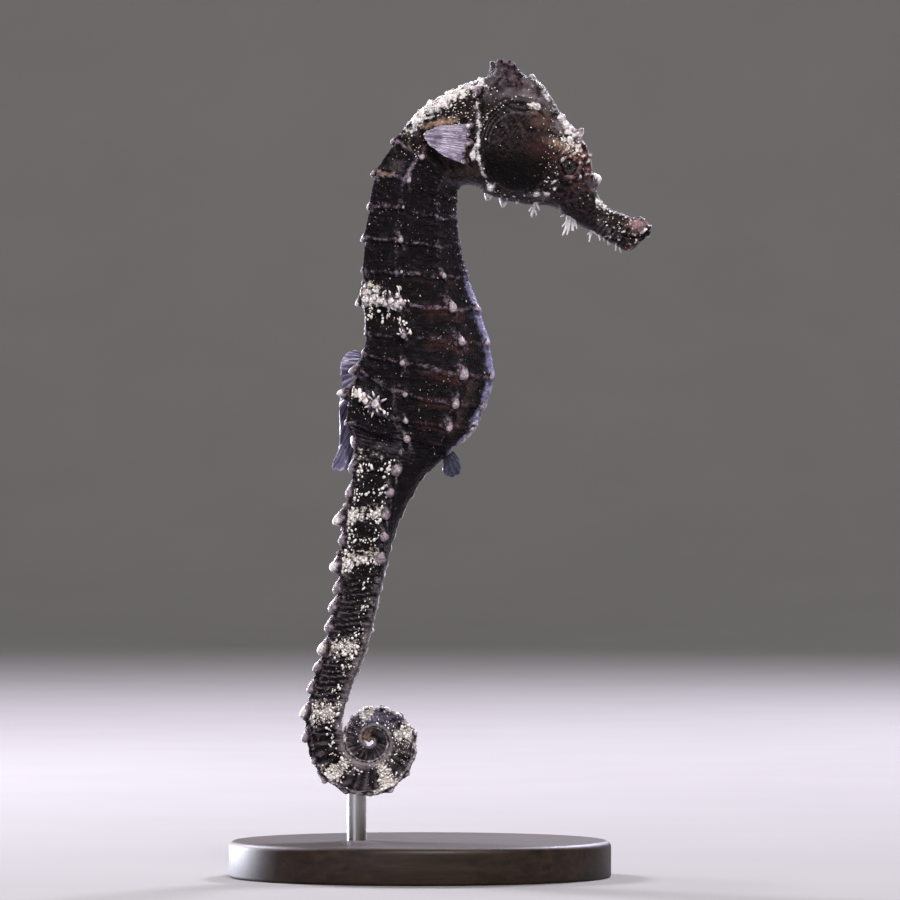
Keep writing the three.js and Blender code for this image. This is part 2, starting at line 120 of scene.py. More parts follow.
# [ring, then place down the depth and share of the half width for the middle of the back, upper
# ridge, flank, side ridge, belly wall, lower ridge, belly's edge and keel].
SHAPES = [
    [-17, 0, 0, .03, .5, .14, .82, .35, 1, .6, 1, .82, .8, .95, .48, 1, 0],
    [-12, 0, 0, .03, .5, .14, .82, .35, 1, .6, 1, .82, .8, .95, .48, 1, 0],
    [-6, 0, 0, .01, .4, .15, .66, .36, .88, .6, 1, .82, .82, .95, .45, 1, 0],
    [-2, 0, 0, .01, .42, .15, .7, .36, .94, .6, 1, .82, .78, .95, .4, 1, 0],
    [1, .015, 0, 0, .45, .17, .74, .33, 1, .55, .93, .77, .76, .92, .4, 1, 0],
    [9, .02, 0, 0, .45, .17, .74, .33, 1, .55, .95, .78, .76, .92, .36, 1, 0],
    [11, .03, 0, 0, .6, .22, .8, .48, 1, .66, .9, .84, .66, .95, .36, 1, 0],
    [14, .04, 0, 0, .76, .28, .84, .63, 1, .78, .86, .91, .6, .97, .32, 1, 0],
    [17, .05, 0, 0, .84, .38, .84, .86, 1, .93, .84, .97, .6, .99, .3, 1, 0],
    [30, .05, 0, 0, .86, .38, .84, .9, .92, .95, .8, .98, .56, .99, .28, 1, 0],
]
ROUNDNESS = [[-17, .95], [-2, .9], [1, .55], [11, .5], [17, .45], [30, .6], [49, .8]]
BACK, UPPER, FLANK, SIDE, WALL, LOWER, EDGE, KEEL = range(8)

# Rows of the skin for each stretch of rings, and columns between neighbouring lines of a section.
STRETCHES = [(-17, -11.5, 58), (-11.5, -2, 152), (-2, 2, 60), (2, 11.5, 170), (11.5, 25, 175), (25, 48, 130)]
COLUMNS = (6, 8, 10, 12, 12, 7, 5)
CAP_ROWS = 7


def smooth(low, high, value):
    """0 at low and 1 at high, with soft ends."""
    t = np.clip((value - low) / (high - low), 0, 1)
    return t * t * (3 - 2 * t)


def band(low, full, ebb, high, value):
    """1 between full and ebb, fading to 0 at low and at high."""
    return smooth(low, full, value) * (1 - smooth(ebb, high, value))


def bell(distance, width):
    return np.exp(-np.square(distance / width))


def read_rows(rows, keys):
    """A smooth curve through rows of [key, value...], read at every key."""
    table = np.array(rows, float)
    at, values = table[:, 0], table[:, 1:]
    keys = np.atleast_1d(keys).astype(float)
    high = np.clip(np.searchsorted(at, keys), 1, len(at) - 1)
    low = high - 1
    before, beyond = np.maximum(low - 1, 0), np.minimum(high + 1, len(at) - 1)
    span = (at[high] - at[low])[:, None]
    t = np.clip((keys - at[low])[:, None] / span, 0, 1)
    slope_low = (values[high] - values[before]) / np.maximum((at[high] - at[before])[:, None], span)
    slope_high = (values[beyond] - values[low]) / np.maximum((at[beyond] - at[low])[:, None], span)
    return (
        values[low] * (2 * t**3 - 3 * t**2 + 1)
        + values[high] * (3 * t**2 - 2 * t**3)
        + slope_low * span * (t**3 - 2 * t**2 + t)
        + slope_high * span * (t**3 - t**2)
    )


def coil_stations(ring):
    passed = ring - COIL_START
    angle = COIL_ANGLE[0] + COIL_ANGLE[1] * passed + COIL_ANGLE[2] * passed**2
    quarter = [-90 + 90 * i for i in range(len(COIL_BACK))]
    back = read_rows(list(zip(quarter, COIL_BACK)), angle)[:, 0]
    belly = read_rows(list(zip(quarter, COIL_BELLY)), angle)[:, 0]
    sine, cosine = np.sin(np.radians(angle)), np.cos(np.radians(angle))
    return np.stack([
        COIL_X + back * sine, COIL_Z - back * cosine,
        COIL_X + belly * sine, COIL_Z - belly * cosine,
        COIL_WIDTH_RATIO * (back - belly),
    ], 1)


def stations(ring):
    first = [[r, *coil_stations(np.array([float(r)]))[0]] for r in (COIL_START, COIL_START + 1)]
    rows = read_rows(STATIONS + first, np.minimum(ring, COIL_START))
    return np.where((ring > COIL_START)[:, None], coil_stations(np.maximum(ring, COIL_START)), rows)


# ---------- the skin's rows and columns ----------

rows = np.concatenate([np.linspace(a, b, n, endpoint=False) for a, b, n in STRETCHES] + [[COIL_END]])
cap = np.linspace(0, 1, CAP_ROWS, endpoint=False)
cap_shrink = np.sqrt(1 - (1 - cap) ** 2)  # a round end
ring_of_row = np.concatenate([np.full(CAP_ROWS, rows[0]), rows, np.full(CAP_ROWS, rows[-1])])
shrink = np.concatenate([cap_shrink, np.ones(len(rows)), cap_shrink[::-1]])
LIP_REACH, TIP_REACH = 0.45, 0.3
reach = np.concatenate([(1 - cap) * LIP_REACH, np.zeros(len(rows)), -(1 - cap[::-1]) * TIP_REACH])
half = np.concatenate([np.linspace(i, i + 1, n, endpoint=False) for i, n in enumerate(COLUMNS)])
line_of_column = np.concatenate([half, [float(KEEL)], half[:0:-1], [0.0]])
side_of_column = np.where(np.arange(len(line_of_column)) <= len(half), -1.0, 1.0)
ROWS, COLS = len(ring_of_row), len(line_of_column)
R = ring_of_row[:, None]
L = line_of_column[None, :]


def plain_body():
    """The body's surface before any relief, and the way towards the lips at each row."""
    at = stations(ring_of_row)
    back = np.stack([at[:, 0], np.zeros(ROWS), at[:, 1]], 1)
    belly = np.stack([at[:, 2], np.zeros(ROWS), at[:, 3]], 1)
    shapes = read_rows(SHAPES, np.clip(ring_of_row, -17, 30)).reshape(ROWS, 8, 2)
    mirror = np.array([1.0, -1.0])
    points = np.concatenate([shapes[:, 1:2] * mirror, shapes, shapes[:, 6:7] * mirror], 1)
    low = np.minimum(line_of_column.astype(int), 6)
    t = (line_of_column - low)[None, :, None]
    p0, p1, p2, p3 = (points[:, low + k] for k in range(4))
    straight = p1 + (p2 - p1) * t
    curved = (
        0.5 * (2 * p1 + (p2 - p0) * t + (2 * p0 - 5 * p1 + 4 * p2 - p3) * t**2
        + (3 * p1 - p0 - 3 * p2 + p3) * t**3)
    )
    mix = read_rows(ROUNDNESS, ring_of_row)[:, :, None]
    section = straight + (curved - straight) * mix
    down, out = section[:, :, 0], section[:, :, 1]
    middle = (back + belly) / 2
    depth = belly - back
    flat = middle[:, None] + depth[:, None] * ((down - 0.5) * shrink[:, None])[:, :, None]
    flat[:, :, 1] += side_of_column * out * at[:, 4][:, None] * shrink[:, None]
    length = np.linalg.norm(depth, axis=1)
    ahead = np.stack([-depth[:, 2], np.zeros(ROWS), depth[:, 0]], 1) / length[:, None]
    flat += (ahead * reach[:, None])[:, None]
    return flat, length


def outward(surface):
    along = np.gradient(surface, axis=0)
    ring = surface[:, :-1]
    around = np.roll(ring, -1, 1) - np.roll(ring, 1, 1)
    around = np.concatenate([around, around[:, :1]], 1)
    normal = np.cross(around, along)
    normal /= np.maximum(np.linalg.norm(normal, axis=2, keepdims=True), 1e-12)
    return normal


def softened(field, times):
    for _ in range(times):
        field = (np.roll(field, 1, 0) + field * 2 + np.roll(field, -1, 0)) / 4
    return field


body, depth = plain_body()
normal = outward(body)
if (normal[ROWS // 2, len(half) // 2] * np.array([0, 1, 0])).sum() > 0:
    normal = -normal
normal = softened(normal, 6)
normal /= np.maximum(np.linalg.norm(normal, axis=2, keepdims=True), 1e-12)
step = np.diff(body, axis=0)
along = np.concatenate([np.zeros((1, COLS)), np.cumsum(np.linalg.norm(step, axis=2), 0)])
tailward = np.gradient(body, axis=0)
tailward /= np.maximum(np.linalg.norm(tailward, axis=2, keepdims=True), 1e-12)
around = np.concatenate([np.zeros((ROWS, 1)), np.cumsum(np.linalg.norm(np.diff(body, axis=1), axis=2), 1)], 1)
X, Z = body[:, :, 0], body[:, :, 2]
HEAD = 1 - smooth(-2.6, -1.6, R)


def at_place(ring, line, side=-1):
    """Row and column nearest to a ring number and a line, on one side."""
    row = int(np.abs(ring_of_row - ring).argmin())
    same = np.where(side_of_column == side, np.abs(line_of_column - line), 9)
    return row, int(same.argmin())


# ---------- relief ----------

# How far the rings' lines run headwards of the body's own sections, in rings: [ring, over the back,
# at the side ridge, at the lower ridge].
SLIP = [
    [-3, 0, 0, 0], [0, 0, .1, 0], [1, 0, .15, 0], [3, 0, .1, -.1], [4, 0, 0, -.15], [5, 0, -.08, -.18],
    [6, 0, -.1, -.2], [7, 0, -.03, -.16], [7.6, .4, .16, -.09], [8.1, .9, .28, -.04], [8.9, 1.1, .25, -.06],
    [10, 1.0, .3, .15], [11.1, .9, .5, .2], [12.8, .24, .26, .13], [14, 0, .2, 0], [16, 0, .15, 0],
    [17, 0, .4, 0], [18, 0, .45, 0], [20, 0, .3, 0], [24, 0, .2, 0], [27, 0, 0, 0], [49, 0, 0, 0],
]
# How plainly each ring's line shows: [ring, share].
RING_SHOW = [
    [-3, 0], [0, .3], [1, 1], [2, .85], [3, .7], [4, .65], [5, .6], [6, .85], [7, .55], [8, .8], [9, .55],
    [10, .6], [11, .25], [12, .45], [14, .35], [26, .3], [48, .2],
]
# Heights of the knobs on the back's ridges, in millimetres.
LONG = {6: .55, 9: 1.2, 10: 1.3, 15: 1.35, 17: 1.0, 21: .8, 24: .75, 27: .55, 30: .5, 33: .38, 36: .25}
SHORT = {
    1: .3, 2: .42, 3: .15, 4: .38, 5: .2, 7: .15, 8: .1, 11: .3, 12: .12, 13: .6, 14: .55, 16: .7, 18: .7,
    19: .65, 20: .65, 22: .6, 23: .6, 25: .6, 26: .55, 28: .5, 29: .5,
}
# Root radii of the knobs on the side ridge and on the lower ridge, how far the first ones stand below
# the side ridge where it isn't .25, and the lines on which small lumps stand in the white rings.
SIDE_SIZE = {
    1: .42, 2: .45, 3: .2, 4: .42, 5: .24, 6: .42, 7: .48, 8: .42, 9: .36, 10: .38, 11: .56, 12: .52,
    13: .84, 14: .78, 15: .92, 16: .74, 17: .82, 18: .66, 19: .5,
}
LOWER_SIZE = {5: .4, 6: .6, 7: .66, 8: .68, 9: .62, 10: .56}
BELOW_SIDE = {6: .15, 7: 0, 8: 0, 9: .3, 10: .45, 11: .3}
LUMP_LINES = {6: (.45, .7, .95, 1.25, 1.65, 1.95, 2.3, 2.6, 2.85, 3.1), 10: (1.2, 1.4, 1.6, 1.8)}
FINE_SECTIONS = 2601  # 40 to a ring
FLANK_FACE = smooth(0.25, 0.6, np.abs(normal[:, :, 1])) * (R < 0.8)


def ring_slip(ring, line):
    back, side, lower = np.moveaxis(read_rows(SLIP, ring), -1, 0)
    above = smooth(UPPER - .3, SIDE, line)
    down = np.clip((line - SIDE) / (LOWER - SIDE), 0, 1)
    return np.where(line < SIDE, back + (side - back) * above, side + (lower - side) * down)


def section_of(ring, line):
    """The body's own section that a ring's line crosses at a line of the body."""
    sections = np.linspace(-17, COIL_END, FINE_SECTIONS)
    return float(np.interp(ring, sections + ring_slip(sections, np.full(FINE_SECTIONS, line)), sections))


def noise_at(points, millimetres, shift=0.0):
    """Smooth noise from -1 to 1 whose lumps are about the size given."""
    scaled = (np.asarray(points) / millimetres + shift).reshape(-1, 3)
    return np.array([noise.noise(Vector(p)) for p in scaled]).reshape(np.shape(points)[:-1])


clots = noise_at(body, .9)
clouds = noise_at(body, 2.2, 7.0)
knots = noise_at(body, .55, 3.0)
RING = R + ring_slip(R, L) + .03 * np.sin(L * 4.3 + 2.1 * np.round(R))
lift = np.zeros((ROWS, COLS))
KNOB_ROWS = 40  # rows each way that a knob's swelling can reach
# Each lobe: [row, column, height, root radius, tip's share of it, stretch headwards, lean tailwards,
# flare, paleness, whiteness, petals round it].
lobes = []
masks = {name: np.zeros((ROWS, COLS)) for name in (
    "cream", "ridge", "knob", "lavender", "stripe", "ochre", "warm", "rust", "tan", "grey", "lip", "crust",
    "shade")}


def lay(name, amount):
    """Lays a mark on the skin wherever it is stronger than what is there."""
    masks[name] = np.maximum(masks[name], amount)


def knob(ring, line, height, radius, tip=.62, stretch=.6, lean=.3, flare=.2, pale=1.0, white=0.0, petals=0):
    """A blunt tubercle on both sides: a swelling of the skin, and the place of the lobe on top of it."""
    for side in (-1, 1):
        row, column = at_place(section_of(ring, line), line, side)
        r0, r1 = max(row - KNOB_ROWS, 0), min(row + KNOB_ROWS, ROWS)
        forward = along[r0:r1] - along[row, column]
        across = around[r0:r1] - around[r0:r1, column:column + 1]
        reach_there = np.where(forward < 0, radius * (1.9 + stretch), radius * 1.2)
        q = (forward / reach_there) ** 2 + (across / (radius * 1.6)) ** 2
        lift[r0:r1] += .38 * min(height, .9) * np.exp(-q ** 1.2)
        masks["knob"][r0:r1] = np.maximum(masks["knob"][r0:r1], .55 * pale * np.exp(-q * 1.5))
        sized = radius * float(np.clip(chance.normal(1, .1), .8, 1.25))
        high = height * float(np.clip(chance.normal(1, .08), .85, 1.15))
        lobes.append((row, column, high, sized, tip, stretch, lean, flare, pale, white, petals))


def ring_relief():
    near = np.round(RING)
    gap = RING - near
    fade = band(0.2, 1.0, 42, 48, R)
    show = read_rows(RING_SHOW, R)[..., 0] * (1 - .85 * smooth(2.9, 3.6, L) * (R < 3))
    size = np.clip(depth / 9, 0.12, 1)[:, None]
    pouch = band(11.1, 11.8, 17.1, 17.6, R) * smooth(3.1, 3.6, L)
    tail_front = smooth(16.8, 17.6, R) * smooth(3.3, 3.9, L)
    bare = 1 - np.maximum(pouch, tail_front * 0.85)
    crest = bell(gap, 0.07) * fade * bare
    between = RING - np.floor(RING)
    saw = between**2 * (1 - smooth(0.9, 1.0, between))
    lift_here = crest * (.1 + .16 * show) * size + saw * .17 * size * fade * bare
    trunk = fade * (1 - smooth(11, 12, R))
    dish = np.zeros_like(R * L)
    for low, high in ((UPPER, SIDE), (SIDE, LOWER), (LOWER, KEEL)):
        dish += np.where((L > low) & (L < high), np.sin(np.pi * (L - low) / (high - low)), 0)
    lift_here -= 0.2 * trunk * dish * np.sin(np.pi * between) ** 2
    groove = bell(gap - 0.13, 0.06) * fade * bare
    lift_here -= 0.07 * size * groove
    crests = (
        bell(L - UPPER, 0.16) + bell(L - SIDE, 0.13) * (1 - .9 * smooth(10.5, 11.5, R))
        + bell(L - LOWER, 0.14) * trunk
    )
    lift_here += 0.14 * size * crests * fade * bare
    # Five wrinkles to a ring on the trunk, fewer on the tail and fewer still on the coil.
    turns = 5.0 * np.minimum(RING, 14) + 3.6 * np.clip(RING - 14, 0, 11) + 2.0 * np.maximum(RING - 25, 0)
    wrinkle = np.sin(2 * np.pi * (turns + .3 * clouds * (R < 14) + .12 * np.sin(L * 2.3)))
    lift_here += (.03 + .075 * smooth(16, 20, R)) * size**0.5 * wrinkle * fade * (1 - pouch) * (1 - crest)
    masks["ridge"] += (
        bell(gap, .07 + .04 * smooth(6, 8, R)) * fade * bare * show * (.85 + .5 * clots)
        + crests * .36 * fade * bare
    )
    folded = smooth(16, 19, R) + .6 * band(9.6, 10.6, 12.2, 12.6, R) * (L < 4) + .25 * (R < 9)
    # Painted shade in the grooves beside the ring lines and in the troughs of the wrinkles over the tail's
    # back.
    masks["shade"] += (
        groove * .55 + .6 * smooth(16, 20, R) * np.clip(-wrinkle, 0, 1) * fade * (1 - crest) * (L < 3)
    )
    masks["grey"] += (
        (1.0 + .2 * smooth(16, 18, R)) * folded * np.clip(wrinkle, 0, 1) ** 2 * fade * (1 + .4 * clots)
    )
    frame = bell(L - SIDE - .12, .09) * band(.9, 1.1, 1.9, 2.1, R)
    lift_here += .22 * frame
    masks["ridge"] += .9 * frame
    masks["tan"] += .8 * bell(gap + .06, .09) * bell(R - 1.95, .35) * (L < 2.3)
    lift_here += (
        .3 * size * smooth(5.6, 6.7, L) * band(13.5, 14.5, 24, 26, R)
        * (between ** 2 * (1 - smooth(.92, 1.0, between)) - .3)
    )
    return lift_here


def knobs_on_rings():
    for ring in range(1, 44):
        taper = 1 - float(smooth(20, 42, np.array(float(ring))))
        in_tail = ring >= 12
        usual = .75 * (.25 + .75 * taper)
        height = LONG.get(ring, SHORT.get(ring, usual))
        if in_tail:
            wide = (.88 if ring in LONG else .8) * (.35 + .65 * taper) * (1 if ring < 26 else .8)
            share = 1 if ring <= 25 else .8 if ring in LONG else .45
            knob(ring, UPPER, height * share, wide, tip=.8, stretch=.9, lean=.45, flare=.55,
                 pale=1.0 if ring in LONG else .8, white=.95 if ring in LONG else .2 if ring < 26 else .6)
            if ring in (14, 15, 16):
                knob(ring + .5, UPPER, .4, .36, tip=.8, stretch=.4, lean=.2, pale=.9, white=.2)
        else:
            wide = .58 if ring in (9, 10) else .46
            knob(ring, UPPER, height, wide, tip=.7, stretch=.6, lean=.1 if ring in (9, 10) else .4,
                 flare=.8 if ring in (9, 10) else .3, pale=.85, white=.85 if ring in (6, 10) else .2)
        wide = SIDE_SIZE.get(ring)
        if in_tail and wide:
            knob(ring, SIDE, wide * (.4 if ring < 18 else .2), wide * .9, tip=.75, stretch=.5, lean=.5,
                flare=.2,
                 pale=.7 if 12 < ring < 18 else .4, white=.35 if ring in (13, 15, 17) else 0)
        elif wide:
            knob(ring, SIDE + BELOW_SIDE.get(ring, .25), wide * .8, wide, tip=.75, stretch=.7, lean=.1,
                 white=.3, petals=3 if ring == 7 else 0)
        wide = LOWER_SIZE.get(ring)
        if wide:
            knob(ring, LOWER, wide * .85, wide, tip=.75, stretch=1.1, lean=.1, white=.35)
        for line in LUMP_LINES.get(ring, ()):
            wide = float(chance.uniform(.26, .48))
            about = ring - .18 * (ring == 10) + float(chance.uniform(-.16, .05))
            knob(about, line, wide * .55, wide, tip=.7, stretch=1.5, lean=.15, pale=1, white=.85)
        if ring == 6:
            for above, line in ((5.42, .6), (5.7, .8), (5.5, 1.1), (5.74, 1.4), (5.62, 1.8)):
                knob(above, line, .22, .34, tip=.7, stretch=1.5, lean=.15, pale=1, white=.8)
        if ring == 10:
            knob(9.7, 2.25, .55, .72, tip=.7, stretch=.4, lean=.1, pale=1, white=.7, petals=8)
        if 6 <= ring <= 10:
            wide = .6 if ring == 10 else .5
            knob(ring, EDGE + .55, .35, wide, tip=.7, stretch=.9, lean=0, pale=.9, white=.2)


# Raised and pale places on the head's sides: [x, z, half length, half height, turn, lift, crust].
HEAD_LUMPS = [
    [9.7, 93.9, .5, .55, 0, .5, 1], [15.9, 92.9, .7, .3, 15, .3, .9], [17.2, 92.9, .75, .26, -12, .28, .9],
    [18.2, 93.4, .4, .22, 25, .2, .8], [15.7, 104.6, .75, .42, -15, .5, .9],
    [14.9, 104.9, .5, .3, 0, .2, .6], [7.5, 106.1, .5, .45, 0, .5, .55], [7.2, 98.1, .42, .75, 0, .35, 1],
    [7.9, 97.9, .35, .9, 0, .3, .9], [7.6, 99.4, .5, .35, 0, .3, .8], [20.1, 101.2, .5, .4, 0, .3, 1],
    [20.9, 100.7, .45, .35, 0, .3, 1], [20.3, 100.2, .5, .5, 0, .2, 1], [19.8, 102.2, .4, .35, 0, .25, .9],
    [19.2, 103.2, .4, .4, 0, .2, .9], [21.3, 99.0, .25, .6, 15, .2, .9], [20.9, 98.3, .5, .2, 30, .2, .8],
    [19.2, 98.6, .55, .2, -20, .16, .3], [19.8, 99.2, .4, .2, 30, .16, .2],
    [20.2, 98.6, .25, .25, 0, .15, .2], [20.6, 99.3, .35, .2, -30, .18, .35],
    [18.3, 94.5, .6, .2, 28, .2, .85], [18.6, 95.4, .35, .2, 30, .15, .7], [24.2, 91.7, .8, .4, -50, .3, 1],
    [25.0, 91.0, .6, .3, -35, .25, .9], [24.0, 91.0, .35, .25, 20, .15, .8],
    [23.7, 95.3, .6, .3, -30, .3, .9], [21.7, 95.1, .3, .22, 0, .2, .8], [22.6, 95.5, .55, .16, 0, .16, .7],
    [22.7, 97.2, .4, .5, 0, .15, .2], [17.0, 102.6, .6, .5, 0, .15, 0], [22.9, 93.2, .9, .6, -30, .22, 0],
    [15.0, 108.8, .6, .35, -20, .25, .2], [16.6, 107.2, .5, .4, -40, .15, .2],
    [26.6, 90.3, .35, .16, 10, .14, .7], [28.2, 89.9, .4, .2, 0, .12, .4], [21.2, 92.2, 1.2, .9, 0, .12, 0],
    [12.9, 92.6, .4, .3, 0, .2, .1], [18.9, 103.9, .4, .35, 0, .12, .3], [12.1, 107.0, .5, .3, 0, .1, 0],
    [14.0, 106.9, .5, .35, 0, .1, 0], [17.4, 100.8, .3, .2, 0, .12, .4],
]
# Soft patches of colour on the head and neck: [x, z, half length, half height, turn, name, strength].
# The grey patches high on the head, round the coronet's foot and above the cheek plate, are partly painted
# sheen.
HEAD_TINTS = [
    [12.4, 106.5, 4.2, 1.1, 6, "grey", .85], [9.4, 108.2, 2.2, 1.0, 10, "grey", .8],
    [14.6, 108.0, 2.0, 1.1, -30, "grey", .9], [16.2, 98.4, 2.4, 3.2, 0, "warm", .9],
    [12.0, 101.4, 2.6, 2.2, -30, "grey", .16], [17.2, 105.4, 1.2, 1.9, 28, "grey", .95],
    [9.5, 107.6, 1.6, .7, 25, "grey", .55], [16.4, 102.8, 1.9, 1.5, -30, "ochre", .95],
    [15.5, 104.0, .8, .55, 0, "tan", .8], [14.3, 107.4, 1.6, 1.0, -30, "ochre", .45],
    [18.7, 102.2, 1.0, 1.5, 20, "grey", .75], [19.3, 99.5, 2.6, .75, -12, "tan", .75],
    [17.4, 99.9, 1.4, .8, 0, "ochre", .8], [19.8, 98.7, 1.6, .7, -10, "tan", .7],
    [21.8, 98.1, 1.0, 1.4, 10, "rust", 1.0], [21.9, 100.4, .6, 1.1, 10, "rust", .8],
    [22.9, 95.9, .7, 1.6, 0, "rust", .6], [22.5, 96.4, .5, .5, 0, "tan", .4],
    [17.9, 97.9, 1.6, 1.1, 0, "rust", .55], [21.4, 93.6, 2.0, 1.6, -20, "ochre", .4],
    [23.3, 94.0, .8, 1.3, 20, "grey", .7], [20.4, 91.4, 2.0, .9, -20, "grey", .35],
    [26.0, 89.2, 2.6, 1.6, -30, "ochre", .35], [24.4, 88.6, 2.4, .9, -32, "grey", .5],
    [28.2, 87.8, 1.6, 1.4, -20, "rust", .4], [29.6, 88.7, 1.5, 1.1, -15, "lip", 1.0],
    [28.7, 85.6, 1.3, .9, 0, "rust", .7], [28.9, 85.4, 1.2, .9, 0, "lip", .45],
    [14.0, 92.8, 3.6, .9, 0, "grey", .6], [16.4, 91.9, 1.6, .7, 0, "ochre", .6],
    [11.0, 93.6, 2.0, 1.0, -20, "ochre", .6], [11.7, 103.0, 2.0, 1.3, 15, "grey", .25],
    [13.6, 101.0, 2.0, 1.0, -40, "grey", .2], [10.4, 100.6, .9, 2.2, 0, "grey", .2],
    [6.3, 98.9, 1.0, 1.8, 0, "rust", 1.0], [5.8, 95.6, 3.0, 1.2, 0, "ochre", .6],
    [6.4, 94.1, 3.6, .7, -8, "grey", .9], [7.9, 102.3, .45, 3.4, 0, "grey", .9],
    [8.3, 96.2, .4, 1.8, -25, "grey", .6], [2.8, 102.5, 2.9, .6, 12, "tan", 1.0],
    [-.9, 101.2, 1.6, .8, 35, "ochre", .6], [.6, 99.6, 2.2, 1.4, 20, "warm", .5],
    [-3.2, 96.6, 1.6, 1.5, 0, "stripe", .45], [15.4, 105.7, 2.2, 1.1, -32, "stripe", .6],
    [18.8, 101.8, 1.3, 1.2, -40, "stripe", .5], [10.4, 95.4, 1.5, .9, -40, "grey", .6],
    [16.6, 92.7, 2.2, .8, 0, "stripe", .5], [3.6, 97.0, 2.4, 1.2, -20, "ochre", .35],
    [-1.4, 98.9, 1.2, .5, -38, "tan", .5],
]
PLATE_X, PLATE_Z, PLATE_LONG, PLATE_HIGH = 13.2, 99.0, 4.95, 6.0
GILL_EDGE = [(7.6, 106.1), (7.9, 103.5), (8.0, 101.6), (7.8, 97.8), (8.5, 95.6), (9.7, 93.8)]
MOUTH = [(31.9, 88.3), (31.1, 87.95), (30.1, 87.05), (29.2, 86.9), (28.3, 86.95), (27.5, 87.25)]
BROW_EDGE = [(15.6, 108.0), (17.0, 106.4), (18.2, 104.2), (19.8, 102.0), (21.2, 100.9)]
NOSE_EDGE = [(22.9, 99.3), (23.4, 96.8)]
FOLD = [(11.2, 109.6), (12.0, 109.0), (12.9, 107.9), (13.4, 107.2)]
EYE_X = sum(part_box("eye_right")[k].x for k in (0, 1)) / 2 / MM
EYE_Z = sum(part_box("eye_right")[k].z for k in (0, 1)) / 2 / MM
EYE_Y = -sum(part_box("eye_right")[k].y for k in (0, 1)) / 2 / MM
EYE_SIZE = (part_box("eye_right")[1].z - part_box("eye_right")[0].z) / 2 / MM
LID = 1.34  # radius of the opening in the skin


def patch(x, z, long, high, turn):
    c, s = math.cos(math.radians(turn)), math.sin(math.radians(turn))
    dx, dz = X - x, Z - z
    return np.exp(-(((dx * c + dz * s) / long) ** 2 + ((dz * c - dx * s) / high) ** 2))


def from_path(points):
    """Distance of each place of the skin, seen from the side, from a path."""
    best = np.full(X.shape, 1e3)
    for (x0, z0), (x1, z1) in zip(points, points[1:]):
        dx, dz = x1 - x0, z1 - z0
        t = np.clip(((X - x0) * dx + (Z - z0) * dz) / (dx * dx + dz * dz), 0, 1)
        best = np.minimum(best, np.hypot(X - x0 - t * dx, Z - z0 - t * dz))
    return best


